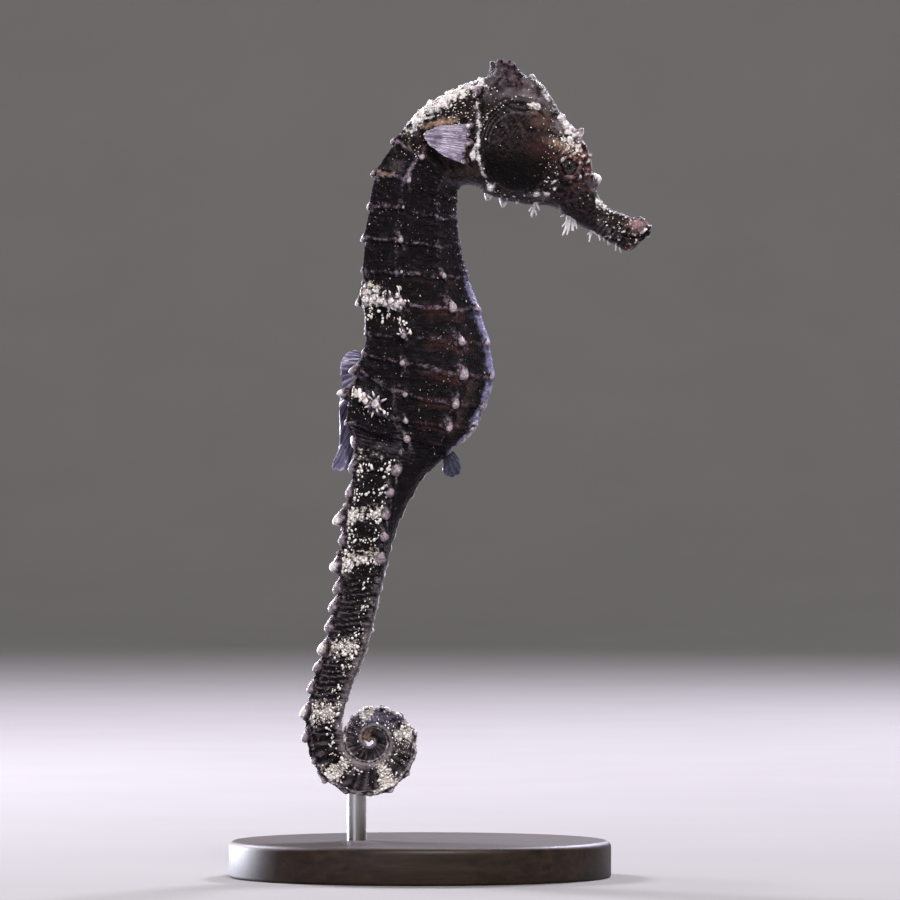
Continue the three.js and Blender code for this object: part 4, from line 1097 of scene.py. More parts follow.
def make_thread(path, wide, y, side):
    """A tapered thread: a round face extruded from point to point of its path, with a blunt tip."""
    stray = chance.uniform(-.2, .2, (len(path), 2)) * [[min(i, 2) / 2] for i in range(len(path))]
    path = [Vector((x + dx, (y + dy) * side, z)) * MM for (x, z), (dx, dy) in zip(path, stray)]
    length = float(chance.uniform(.62, 1.05))
    path = [path[0] + (point - path[0]) * length for point in path]
    path.append(path[-1] + (path[-1] - path[-2]).normalized() * .08 * MM)
    radii = [.62 * wide * (1 - .7 * k / (len(path) - 2)) * MM for k in range(len(path) - 1)]
    radii.append(.2 * wide * MM)
    turn = (path[1] - path[0]).to_track_quat("Z", "Y").to_matrix()
    bpy.ops.object.select_all(action="DESELECT")
    bpy.ops.mesh.primitive_circle_add(vertices=8, radius=radii[0], fill_type="NGON")
    piece = named("thread")
    put(piece, [list(turn @ Vector(c) + path[0]) for c in places(piece)])
    bpy.ops.object.mode_set(mode="EDIT")
    bpy.ops.mesh.select_all(action="SELECT")
    for i in range(1, len(path)):
        bpy.ops.mesh.extrude_region_move(TRANSFORM_OT_translate={"value": path[i] - path[i - 1]})
        bpy.ops.transform.resize(value=(radii[i] / radii[i - 1],) * 3, center_override=path[i])
    bpy.ops.object.mode_set(mode="OBJECT")
    edit(piece, bpy.ops.mesh.normals_make_consistent, inside=False)
    rounded(piece)
    row, column = row_and_column(np.array(path[0]) / MM)
    root = layout_place(np.array([float(row)]), np.array([float(column)]), row_strip[[row]])
    co = places(piece)
    start, along_it = np.array(path[0]), np.array(path[-1] - path[0])
    gone = np.clip((co - start) @ along_it / (along_it @ along_it), 0, 1)
    around_it = co - start - gone[:, None] * along_it
    flat = around_it[:, :2] / (wide * MM) * LOBE_PATCH * .6 * (1.2 - gone)[:, None]
    set_layout(piece, (root + flat)[corners(piece)])
    mark_small(piece, crust=.75 + .25 * gone, cream=.6)
    return piece


knobs = make_knobs()
join(knobs, [make_thread(path, wide, y, side) for path, wide, y in THREADS for side in (-1, 1)])

# ---------- beads on the skin ----------


# Strings of beads over the sixth ring's saddle: [line, first ring, last ring].
BEAD_STRINGS = [
    [.7, 5.25, 5.9], [1.2, 5.35, 5.95], [1.6, 5.5, 5.95], [2.0, 5.62, 5.95], [2.5, 5.5, 5.9],
    [2.95, 5.3, 5.8], [.55, 6.05, 6.5], [.9, 6.05, 6.95], [1.25, 6.05, 6.45], [1.7, 6.05, 6.6],
    [2.2, 6.05, 6.4], [2.85, 6.35, 6.9], [3.05, 6.5, 6.8],
]


def bead_kinds():
    """The kinds of bead: for each, beads for a square millimetre of skin, their radius and paleness."""
    nothing = np.zeros_like(X)
    gap = RING - np.round(RING)
    body_here = band(-2, 0, 11, 12, R)
    strings = sum(
        bell(L - line - .05 * np.sin(R * 9 + line * 7), .055)
        * band(first - .04, first + .04, last - .04, last + .04, RING)
        for line, first, last in BEAD_STRINGS)
    kinds = []
    kinds.append((2.2 * bell(RING - 6.0, .1) * band(.35, .6, 3.1, 3.4, L), .2, .95))
    kinds.append((4.0 * bell(RING - 9.8, .15) * band(.3, .6, 1.6, 1.9, L), .24, .95))
    kinds.append((2.0 * bell(RING - 9.8, .2) * band(2.4, 2.5, 2.6, 2.9, L), .16, .9))
    for middle, long, lowest, strength in SADDLES[10:]:
        there = bell(RING - middle, long * .55) * (1 - smooth(lowest - .5, lowest, L)) * smooth(.6, 1.0, L)
        kinds.append((5.5 * there * strength, .17, 1.0))
    kinds.append((19 * strings, .155, .95))
    kinds.append((1.4 * bell(RING - 6.0, .6) * (1 - smooth(2.9, 3.2, L)), .07, .5))
    tail = band(11.7, 12.1, 17.2, 17.6, R)
    columns = bell(L - 1.3, .16) + .6 * bell(L - 2.55, .16)
    bright = np.isin(np.round(RING), (12, 15, 17))
    rows_there = bell(gap, .13) * band(.8, 1.0, 2.9, 3.1, L) * (.35 + .75 * bright)
    kinds.append((6.0 * tail * rows_there, .165, 1.0))
    kinds.append((7.0 * tail * np.clip(columns * (.5 + .6 * bell(gap, .3)) + rows_there * .4, 0, 1.3), .155,
        .95))
    kinds.append((1.2 * tail * (L < 3), .06, .5))
    kinds.append((3.0 * bell(RING - 10.3, .25) * (1 - smooth(2.3, 2.8, L)), .08, .5))
    for middle, long, lowest, strength in SADDLES[10:]:
        there = bell(RING - middle, long * .9) * (1 - smooth(lowest - .3, lowest + .2, L)) * smooth(.5, .9, L)
        kinds.append((5.0 * there * strength, .11, .9))
    later = band(17.3, 18, 38, 42, R)
    kinds.append((2.6 * later * bell(L - 2.5, .25) * (.4 + bell(gap, .25)), .12, .9))
    kinds.append((.7 * later * bell(L - 1.7, .9), .06, .5))
    kinds.append((5.0 * band(30.5, 32, 37.5, 39, R) * (bell(L - 1.6, .25) + bell(L - 2.2, .2)), .07, .6))
    nape = bell(R + 1.0, 1.3) * (1 - smooth(1.8, 2.6, L))
    kinds.append((1.6 * nape, .09, 1.0))
    kinds.append((2.0 * bell(R + 1.2, 1.0) * (1 - smooth(.9, 1.5, L)), .18, 1.0))
    kinds.append((5.0 * np.exp(-((X - 5.8) / 2.2) ** 2 - ((Z - 103.6) / 1.8) ** 2) * (R > -2.5) * (R < 1),
        .075, .75))
    kinds.append((1.6 * np.exp(-((X + 1.2) / 1.6) ** 2 - ((Z - 99.4) / 1.6) ** 2) * (R > -1) * (R < 2), .07,
        .8))
    kinds.append((.4 * body_here, .042, .45))
    kinds.append((.035 * body_here, .08, .6))
    kinds.append((1.2 * bell(L - 4.6, .6) * band(6.4, 7, 9.6, 10.2, R) * bell(gap - .1, .2), .07, .3))
    face = FLANK_FACE * (R < -2.0)
    away = np.hypot((X - PLATE_X) / PLATE_LONG, (Z - PLATE_Z) / PLATE_HIGH)
    turn = np.degrees(np.arctan2(Z - PLATE_Z, X - PLATE_X))
    left_rim = smooth(-20, -60, turn) + smooth(150, 175, turn) + .6 * smooth(20, 50, turn)
    kinds.append((3.2 * bell(away - 1.1, .06) * face * np.clip(left_rim, .15, 1), .085, .8))
    kinds.append((.13 * (away < .9) * face + .25 * (away > 1.15) * face, .06, .8))
    kinds.append((.3 * face, .04, .45))
    kinds.append((2.6 * np.exp(-((X - 18.6) / 1.7) ** 2 - ((Z - 100.3) / 2.6) ** 2) * face, .07, .7))
    kinds.append((8.0 * np.exp(-((X - 20.4) / 1.1) ** 2 - ((Z - 99.6) / .9) ** 2) * face, .12, .9))
    kinds.append((2.0 * bell(np.hypot(X - 17.8, Z - 96.6), 1.3) * face, .07, .6))
    on_snout = band(-10.3, -11.2, -15.6, -16.2, R)
    kinds.append((2.0 * on_snout * bell(L - 2.2, 1.3), .07, .7))
    kinds.append((1.5 * smooth(-10, -11, R) * bell(L - UPPER, 1.0) * (R > -15), .1, .9))
    under = smooth(3.2, 3.8, L) * smooth(11.2, 12, R)
    near_eye = (np.hypot(X - EYE_X, Z - EYE_Z) < LID + .3) * FLANK_FACE
    kept = (1 - .96 * under) * (1 - near_eye) * (shrink[:, None] >= 1)
    fine = np.clip(depth / 3.0, .35, 1)[:, None]
    return [((nothing + dense) * kept, radius * fine, pale) for dense, radius, pale in kinds]


BEAD_GAP = .72  # share of two beads' radii that their middles keep apart
BOX = .7  # millimetres, wider than two of the largest beads that can touch


def scatter_beads():
    """Each bead's row, column, radius and tone. A bead that would stand in another is left out."""
    found, boxes = [], {}
    for dense, radius, pale in bead_kinds():
        share = (dense * cell)[:, :-1]
        row, column = np.nonzero(chance.random(share.shape) < share * 1.4)
        spread = np.clip(chance.lognormal(0, .38, len(row)), .45, 1.65)
        shift = chance.random((len(row), 2))
        tone = chance.normal(pale, .2, len(row))
        for i in chance.permutation(len(row)):
            size = radius[row[i], 0] * spread[i]
            p = surface[row[i], column[i]]
            key = tuple(np.floor(p / BOX).astype(int))
            near = [q for dx in (-1, 0, 1) for dy in (-1, 0, 1) for dz in (-1, 0, 1)
                    for q in boxes.get((key[0] + dx, key[1] + dy, key[2] + dz), ())]
            if all((p - q[0]) @ (p - q[0]) > (BEAD_GAP * (size + q[1])) ** 2 for q in near):
                boxes.setdefault(key, []).append((p, size))
                found.append((
                    min(row[i] + shift[i, 0], ROWS - 1.001), min(column[i] + shift[i, 1], COLS - 1.001),
                    size, tone[i]))
    return np.array(found)


def make_beads():
    bpy.ops.object.select_all(action="DESELECT")
    bpy.ops.mesh.primitive_uv_sphere_add(segments=8, ring_count=6, radius=1)
    model = named("bead_model")
    edit(model, bpy.ops.mesh.bisect,
         plane_co=(0, 0, -.3), plane_no=(0, 0, 1), clear_inner=True, use_fill=True)
    co = places(model)
    faces = [list(f.vertices) for f in model.data.polygons]
    bpy.data.objects.remove(model)
    row, column, radius, tone = scatter_beads().T
    count = len(row)
    place, up = at(surface, row, column), at(final_normal, row, column)
    up /= np.linalg.norm(up, axis=1, keepdims=True)
    way = at(tailward, row, column)
    way -= up * (way * up).sum(1, keepdims=True)
    way /= np.linalg.norm(way, axis=1, keepdims=True)
    side = np.cross(up, way)
    spin = chance.normal(0, .45, count)
    cosine, sine = np.cos(spin)[:, None], np.sin(spin)[:, None]
    way, side = way * cosine + side * sine, side * cosine - way * sine
    stretch = 1 + np.abs(chance.normal(0, .4, count))
    tall = chance.uniform(.55, .95, count)
    points = (
        place[:, None]
        + side[:, None] * (co[None, :, 0:1] * (radius / stretch**.35)[:, None, None])
        + way[:, None] * (co[None, :, 1:2] * (radius * stretch)[:, None, None])
        + up[:, None] * ((co[None, :, 2:3] + .05) * (radius * tall)[:, None, None])
    )
    tone = np.clip(tone + .25 * noise_at(place, 1.2), 0, 1)
    root = layout_place(row, column, row_strip[np.floor(row).astype(int)])
    lower = row > np.median(row)
    return [bead_piece("skin_beads_" + part, points[here], root[here], tone[here], co, faces)
            for part, here in (("upper", ~lower), ("lower", lower))]


def bead_piece(name, points, root, tone, co, faces):
    """One mesh of beads: the model's faces again for each bead, at the bead's own points."""
    beads = copies(name, points, faces)
    copy, corner = np.divmod(corners(beads), len(co))
    set_layout(beads, root[copy] + co[corner, :2] * BEAD_PATCH)
    set_mark(beads, "tone", np.repeat(tone, len(co)))
    set_mark(beads, "height", np.tile(np.clip(co[:, 2], 0, 1), len(points)))
    return shade(beads)


bead_pieces = make_beads()

# ---------- eyes ----------

IRIS, PUPIL = 1.02, 0.36


def make_eye(name, side):
    bpy.ops.object.select_all(action="DESELECT")
    bpy.ops.mesh.primitive_uv_sphere_add(
        segments=64, ring_count=56, radius=EYE_SIZE * MM, rotation=(math.pi / 2, 0, 0))
    globe = settle(named(name))
    co = places(globe) / MM
    away = np.hypot(co[:, 0], co[:, 2])
    front = co[:, 1] * side > 0
    level = math.sqrt(EYE_SIZE**2 - IRIS**2)
    flat = level - 0.05 - 0.10 * (1 - smooth(PUPIL, IRIS, away))
    flat -= 0.3 * (1 - smooth(PUPIL * .85, PUPIL * 1.02, away))
    co[:, 1] = np.where(front & (away < IRIS), side * flat, co[:, 1] * .985)
    co += (EYE_X, side * EYE_Y, EYE_Z)
    put(globe, co * MM)
    shade(globe)
    bpy.ops.object.select_all(action="DESELECT")
    bpy.ops.mesh.primitive_uv_sphere_add(
        segments=48, ring_count=32, radius=(EYE_SIZE + .03) * MM, rotation=(math.pi / 2, 0, 0),
        location=(EYE_X * MM, side * EYE_Y * MM, EYE_Z * MM))
    cornea = settle(named(name + "_cornea"))
    cut = (0, side * (EYE_Y + level - .02) * MM, 0)
    edit(cornea, bpy.ops.mesh.bisect, plane_co=cut, plane_no=(0, side, 0), clear_inner=True, use_fill=True)
    edit(cornea, bpy.ops.mesh.normals_make_consistent, inside=False)
    return globe, shade(cornea, 40)


eyes = {"eye_right": make_eye("eyeball_right", -1), "eye_left": make_eye("eyeball_left", 1)}

# ---------- fins ----------


def curve(points, t):
    rows_ = [[i / (len(points) - 1), *p] for i, p in enumerate(points)]
    return read_rows(rows_, t)


def swaying(*waves):
    """A fin's sideways wave, grown from root to edge: each is (height, turns along the fin, start)."""
    return (
        lambda t, out: out * sum(high * np.sin(2 * np.pi * turns * t + start) for high, turns, start in waves)
    )


def make_fin(name, root, edge, rays, wave, tint, thick=.16, lie=None, steps=30, rib=.05):
    """A thin wavy membrane from its root to its free edge, with a low rib along each ray."""
    columns = rays * 6 + 1
    across = np.linspace(0, 1, columns)
    root_line, edge_line = curve(root, across), curve(edge, across)
    ragged = np.repeat(chance.uniform(.0, .07, rays + 1), 6)[:columns]

    def to_place(column, row):
        out = row / (steps - 1)
        t = across[column]
        nick = 1 - (.04 * (1 - np.abs(np.cos(np.pi * rays * t))) + ragged[column]) * out
        flat = root_line[column] + (edge_line[column] - root_line[column]) * (out * nick)[:, None]
        sway = wave(t, out) + rib * np.cos(2 * np.pi * rays * t) * (1 - .5 * out)
        if lie is None:
            return np.stack([flat[:, 0], sway, flat[:, 1]], 1)
        return lie(flat, sway)

    fin, column, row = grid(name, columns, steps, to_place)
    set_mark(fin, "across", across[column] * rays)
    set_mark(fin, "out", row / (steps - 1))
    set_mark(fin, "tint", np.full(len(column), tint))
    only(fin)
    wall = fin.modifiers.new("membrane", "SOLIDIFY")
    wall.thickness, wall.offset = thick * MM, 0
    bpy.ops.object.modifier_apply(modifier=wall.name)
    edit(fin, bpy.ops.mesh.normals_make_consistent, inside=False)
    fin.data.uv_layers[0].name = "RayPlace"
    return shade(fin)


dorsal = make_fin(
    "dorsal_fin_membrane",
    [(-7.9, 71.4), (-8.2, 70.4), (-8.8, 68.4), (-9.6, 65.8), (-9.8, 63.0), (-9.6, 60.4), (-9.0, 58.2)],
    [(-9.0, 71.6), (-10.4, 70.9), (-10.9, 69.2), (-10.7, 66.8), (-11.0, 64.2), (-10.9, 61.0), (-11.1, 58.0),
     (-12.1, 55.3), (-9.9, 55.1)],
    20, swaying((.75, 2.8, .6), (.22, 7, 0)), .5)
anal = make_fin(
    "anal_fin_membrane", [(3.2, 56.9), (3.8, 57.4), (4.5, 57.9)],
    [(3.1, 55.3), (3.25, 54.75), (3.6, 54.4), (4.1, 54.2), (4.7, 54.25), (5.2, 54.5), (5.5, 55.0),
    (5.6, 55.6),
     (5.5, 56.2), (5.25, 56.9)],
    5, swaying((.2, 1, 0)), .15, steps=16)


def make_pectoral(name, side):
    root = [(6.9, 102.3), (6.75, 100.9), (6.5, 99.4), (6.1, 97.9), (5.7, 96.9)]
    edge = [(2.6, 101.95), (1.3, 101.5), (.4, 100.9), (.5, 100.2), (1.1, 99.5), (1.9, 98.8), (3.2, 97.9)]

    def lie(flat, sway):
        out_along = np.clip((6.3 - flat[:, 0]) / 6, 0, 1)
        y = 4.28 + .1 * out_along + .45 * np.sin(out_along * np.pi) + sway
        return np.stack([flat[:, 0], side * y, flat[:, 1]], 1)

    return make_fin(name, root, edge, 17, swaying((.14, 1.5, 0), (.06, 6, 1)), 1.0, lie=lie, rib=.035)


pectorals = {"pectoral_fin_right": make_pectoral("pectoral_membrane_right", -1),
             "pectoral_fin_left": make_pectoral("pectoral_membrane_left", 1)}

# ---------- the stand ----------


def make_base():
    low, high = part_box("stand_base")
    bpy.ops.object.select_all(action="DESELECT")
    bpy.ops.mesh.primitive_cylinder_add(
        vertices=144, radius=(high.x - low.x) / 2, depth=high.z - low.z, location=((low + high) / 2))
    base = settle(named("stand_base_turned"))
    for height, size, segments in ((high.z, .9, 6), (low.z, .4, 3)):
        only(base)
        bpy.ops.object.mode_set(mode="EDIT")
        bpy.ops.mesh.select_all(action="DESELECT")
        bpy.ops.object.mode_set(mode="OBJECT")
        for edge in base.data.edges:
            edge.select = all(abs(base.data.vertices[v].co.z - height) < 1e-6 for v in edge.vertices)
        bpy.ops.object.mode_set(mode="EDIT")
        bpy.ops.mesh.select_mode(type="EDGE")
        bpy.ops.mesh.bevel(offset=size * MM, segments=segments, affect="EDGES")
        bpy.ops.mesh.select_mode(type="VERT")
        bpy.ops.object.mode_set(mode="OBJECT")
    return shade(base, 35)


def make_rod():
    low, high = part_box("stand_rod")
    bpy.ops.object.select_all(action="DESELECT")
    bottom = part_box("stand_base")[1].z
    middle = Vector(((low.x + high.x) / 2, 0, (bottom + high.z) / 2))
    bpy.ops.mesh.primitive_cylinder_add(vertices=48, radius=(high.x - low.x) / 2, depth=high.z - bottom,
        location=middle)
    rod = settle(named("stand_rod_steel"))
    return shade(rod, 35)


base, rod = make_base(), make_rod()

# ---------- materials ----------


def linear(code):
    """A colour's linear values from its sRGB hex code."""
    parts = [int(code[i:i + 2], 16) / 255 for i in (1, 3, 5)]
    return (*[p / 12.92 if p <= 0.04045 else ((p + 0.055) / 1.055) ** 2.4 for p in parts], 1.0)


def add(tree, kind, inputs=None, out=0, stops=(), **settings):
    """Adds a node with its settings and stops, sets or links its inputs, and gives back one output."""
    made = tree.nodes.new("ShaderNode" + kind)
    for key, value in settings.items():
        setattr(made, key, value)
    for i, (place, code) in enumerate(stops):
        stop = made.color_ramp.elements[i] if i < 2 else made.color_ramp.elements.new(place)
        stop.position, stop.color = place, linear(code)
    for key, value in (inputs or {}).items():
        if isinstance(value, bpy.types.NodeSocket):
            tree.links.new(value, made.inputs[key])
        else:
            made.inputs[key].default_value = value
    return made.outputs[out] if made.outputs else None


def new_material(name):
    material = bpy.data.materials.new(name)
    material.use_nodes = True
    tree = material.node_tree
    tree.nodes.clear()
    return material, tree


def per_metre(millimetres):
    return 1000 / millimetres


def seahorse_hide():
    """Living skin over bony rings: nearly black plum-brown, mauve on the ridges, cream where the
    saddles are, with a soft wet gloss. Folds run round the body about 0.6 mm apart, pores are 0.3 mm."""
    material, tree = new_material("wet_skin_over_bony_rings")
    place = add(tree, "TexCoord", out="Object")
    clouds = add(tree, "TexNoise", {"Vector": place, "Scale": per_metre(4.0), "Detail": 4.0, "Roughness": .6})
    mottle = add(tree, "TexNoise", {"Vector": place, "Scale": per_metre(1.1), "Detail": 5.0,
        "Roughness": .65})
    blots = add(tree, "TexNoise", {"Vector": place, "Scale": per_metre(.55), "Detail": 3.0, "Roughness": .6})
    fine = add(tree, "TexNoise", {"Vector": place, "Scale": per_metre(.22), "Detail": 3.0, "Roughness": .6})
    marks = {name: add(tree, "Attribute", out="Fac", attribute_name=name)
        for name in MARKS + ["ring", "line"]}

    # Folds that follow the rings round the body and fade on the head.
    wander = add(tree, "Math", {0: clouds, 1: 3.0, 2: marks["line"]}, operation="MULTIPLY_ADD")
    turns = add(tree, "Math", {0: marks["ring"], 1: 7.0}, operation="MULTIPLY")
    fold_place = add(tree, "CombineXYZ", {"X": turns, "Y": wander})
    folds = add(tree, "TexNoise", {"Vector": fold_place, "Scale": 1.0, "Detail": 3.0, "Roughness": .6})
    on_body = add(tree, "MapRange", {"Value": marks["ring"], "From Min": -2.0, "From Max": .5})
    folds = add(tree, "Mix", {0: on_body, 2: .5, 3: folds})

    depth_of = add(tree, "Math", {0: mottle, 1: .55, 2: -.05}, operation="MULTIPLY_ADD")
    depth_of = add(tree, "Math", {0: folds, 1: .55, 2: depth_of}, operation="MULTIPLY_ADD")
    colour = add(tree, "ValToRGB", {"Fac": depth_of}, stops=[
        (.36, "#070506"), (.52, "#110e12"), (.62, "#211b21"), (.74, "#3d343c")])

    off_body = add(tree, "Math", {0: 1.0, 1: on_body}, operation="SUBTRACT")
    head_tone = add(tree, "MapRange", {"Value": blots, "From Min": .42, "From Max": .66, "To Max": .5})
    head_tone = add(tree, "Math", {0: head_tone, 1: off_body}, operation="MULTIPLY")
    colour = add(tree, "Mix", {0: head_tone, 6: colour, 7: linear("#4c3a3c")}, out=2, data_type="RGBA")

    # Each layer: the mark, its colour, where the broken mark begins and ends, how much noise breaks it.
    # The shade layer is painted shade in creases, pits and at the knobs' feet; along the edges the lavender
    # and crust layers are partly painted rim light and highlight.
    layers = [
        ("grey", "#685f67", .1, 1.3, .7, mottle), ("warm", "#42292a", .1, 1.2, .7, mottle),
        ("ochre", "#65504a", .05, 1.25, .8, mottle), ("rust", "#5a3029", .1, 1.25, .8, mottle),
        ("stripe", "#968d93", .1, 1.1, .6, mottle), ("tan", "#a08474", .15, 1.15, .9, blots),
        ("ridge", "#8b7b8c", .25, 1.3, 1.0, blots), ("lavender", "#8c88b2", .1, 1.15, .8, mottle),
        ("lip", "#a8868e", .1, 1.3, .9, blots), ("shade", "#0a0808", .1, 1.2, .4, mottle),
        ("knob", "#b7a7b4", .1, 1.1, .8, blots), ("cream", "#ddd3cd", .5, 1.0, 1.1, blots),
        ("crust", "#f2edf0", .34, .86, .8, blots),
    ]
    for mark, code, begin, end, broken, noise_out in layers:
        wander = add(tree, "Math", {0: noise_out, 1: .5}, operation="SUBTRACT")
        raised = add(tree, "Math", {0: wander, 1: broken * 2, 2: marks[mark]}, operation="MULTIPLY_ADD")
        shown = add(tree, "Math", {0: marks[mark], 1: 3.0}, operation="MULTIPLY", use_clamp=True)
        amount = add(tree, "MapRange", {"Value": raised, "From Min": begin, "From Max": end},
            interpolation_type="SMOOTHSTEP")
        amount = add(tree, "Math", {0: amount, 1: shown}, operation="MULTIPLY")
        colour = add(tree, "Mix", {0: amount, 6: colour, 7: linear(code)}, out=2, data_type="RGBA")

    specks = add(tree, "TexVoronoi", {"Vector": place, "Scale": per_metre(1.0)})
    dot = add(tree, "MapRange", {"Value": specks, "From Min": .1, "From Max": .05},
        interpolation_type="SMOOTHSTEP")
    here = add(tree, "MapRange", {"Value": blots, "From Min": .5, "From Max": .6, "To Max": .8},
        interpolation_type="SMOOTHSTEP")
    here = add(tree, "Math", {0: here, 1: on_body}, operation="MULTIPLY")
    dot = add(tree, "Math", {0: dot, 1: here}, operation="MULTIPLY")
    colour = add(tree, "Mix", {0: dot, 6: colour, 7: linear("#cfc4b8")}, out=2, data_type="RGBA")

    pores = add(tree, "TexVoronoi", {"Vector": place, "Scale": per_metre(.3)})
    height = add(tree, "Math", {0: folds, 1: 1.6, 2: fine}, operation="MULTIPLY_ADD")
    height = add(tree, "Math", {0: pores, 1: -.5, 2: height}, operation="MULTIPLY_ADD")
    height = add(tree, "Math", {0: blots, 1: 1.3, 2: height}, operation="MULTIPLY_ADD")
    bump = add(tree, "Bump", {"Height": height, "Strength": 1.0, "Distance": .22 * MM})
    gloss = add(tree, "MapRange", {"Value": fine, "From Min": .3, "From Max": .7, "To Min": .36,
        "To Max": .6})
    raised_skin = add(tree, "Math", {0: marks["knob"], 1: marks["crust"]}, operation="MAXIMUM")
    wet = add(tree, "MapRange", {"Value": raised_skin, "To Min": .0, "To Max": .3})
    shine = add(tree, "MapRange", {"Value": raised_skin, "To Min": .14, "To Max": .42})
    skin_shader = add(tree, "BsdfPrincipled", {
        "Base Color": colour, "Roughness": gloss, "IOR": 1.38, "Specular IOR Level": shine, "Normal": bump,
        "Subsurface Weight": .06, "Subsurface Radius": (1.2 * MM, .6 * MM, .4 * MM), "Subsurface Scale": .6,
        "Coat Weight": wet, "Coat Roughness": .1,
        "Sheen Weight": .1, "Sheen Roughness": .25, "Sheen Tint": linear("#cfc9ea")})
    add(tree, "OutputMaterial", {"Surface": skin_shader})
    return material


def bead_hide():
    """Small hard papillae of the skin: tan to white, waxy, darker at the foot."""
    material, tree = new_material("waxy_skin_papillae")
    place = add(tree, "TexCoord", out="Object")
    tone = add(tree, "Attribute", out="Fac", attribute_name="tone")
    height = add(tree, "Attribute", out="Fac", attribute_name="height")
    waxy = add(tree, "ValToRGB", {"Fac": tone}, stops=[
        (.0, "#46352f"), (.4, "#85746e"), (.7, "#d6ccc6"), (1.0, "#fbf8f6")])
    foot = add(tree, "MapRange", {"Value": height, "From Min": .0, "From Max": .7},
        interpolation_type="SMOOTHSTEP")
    colour = add(tree, "Mix", {0: foot, 6: linear("#3a2b28"), 7: waxy}, out=2, data_type="RGBA")
    fine = add(tree, "TexNoise", {"Vector": place, "Scale": per_metre(.2), "Detail": 2.0})
    bump = add(tree, "Bump", {"Height": fine, "Strength": .3, "Distance": .05 * MM})
    shader = add(tree, "BsdfPrincipled", {
        "Base Color": colour, "Roughness": .33, "IOR": 1.45, "Normal": bump,
        "Coat Weight": .35, "Coat Roughness": .12})
    add(tree, "OutputMaterial", {"Surface": shader})
    return material


def eye_tissue():
    """The eyeball: a black pupil with a thin dull ring, and a brown-black iris and white, both mottled."""
    material, tree = new_material("moist_eye_tissue")
    place = add(tree, "TexCoord", out="Object")
    centred = add(tree, "Mapping", {"Vector": place, "Location": (-EYE_X * MM, 0, -EYE_Z * MM)})
    axes = add(tree, "SeparateXYZ", {"Vector": centred}).node
    across = add(tree, "CombineXYZ", {"X": axes.outputs["X"], "Y": axes.outputs["Z"]})
    away = add(tree, "VectorMath", {0: across}, out="Value", operation="LENGTH")
    turn = add(tree, "Math", {0: axes.outputs["Z"], 1: axes.outputs["X"]}, operation="ARCTAN2")
    ray_place = add(tree, "CombineXYZ", {"X": turn, "Y": away})
    ray_place = add(tree, "Mapping", {"Vector": ray_place, "Scale": (2.5, per_metre(1.2), 1)})
    rays = add(tree, "TexNoise", {"Vector": ray_place, "Scale": 1.0, "Detail": 4.0, "Roughness": .7})
    blots = add(tree, "TexNoise", {"Vector": place, "Scale": per_metre(.6), "Detail": 4.0, "Roughness": .6})
    mixed = add(tree, "Mix", {0: .5, 2: rays, 3: blots})
    iris = add(tree, "ValToRGB", {"Fac": mixed}, stops=[(.36, "#1d1815"), (.52, "#2f2620"), (.68, "#4c4037")])
    white = add(tree, "ValToRGB", {"Fac": blots}, stops=[(.42, "#241b1a"), (.66, "#6b5a54")])
    outside = add(tree, "MapRange", {"Value": away, "From Min": .8 * MM, "From Max": 1.05 * MM},
        interpolation_type="SMOOTHSTEP")
    colour = add(tree, "Mix", {0: outside, 6: iris, 7: white}, out=2, data_type="RGBA")
    ring = add(tree, "MapRange", {"Value": away, "From Min": .5 * MM, "From Max": .42 * MM},
        interpolation_type="SMOOTHSTEP")
    colour = add(tree, "Mix", {0: ring, 6: colour, 7: linear("#43372e")}, out=2, data_type="RGBA")
    hole = add(tree, "MapRange", {"Value": away, "From Min": .39 * MM, "From Max": .35 * MM},
        interpolation_type="SMOOTHSTEP")
    colour = add(tree, "Mix", {0: hole, 6: colour, 7: linear("#0c0a09")}, out=2, data_type="RGBA")
    bump = add(tree, "Bump", {"Height": mixed, "Strength": .3, "Distance": .08 * MM})
    shader = add(tree, "BsdfPrincipled", {"Base Color": colour, "Roughness": .25, "IOR": 1.38,
        "Normal": bump})
    add(tree, "OutputMaterial", {"Surface": shader})
    return material


def cornea_clear():
    """The clear front of the eye: wet and smooth, with one sharp highlight."""
    material, tree = new_material("clear_wet_cornea")
    place = add(tree, "TexCoord", out="Object")
    film = add(tree, "TexNoise", {"Vector": place, "Scale": per_metre(.8), "Detail": 2.0})
    haze = add(tree, "MapRange", {"Value": film, "To Min": .1, "To Max": .18})
    shader = add(tree, "BsdfPrincipled", {
        "Base Color": linear("#fbfbfa"), "Roughness": haze, "IOR": 1.376, "Transmission Weight": 1.0})
    add(tree, "OutputMaterial", {"Surface": shader})
    return material


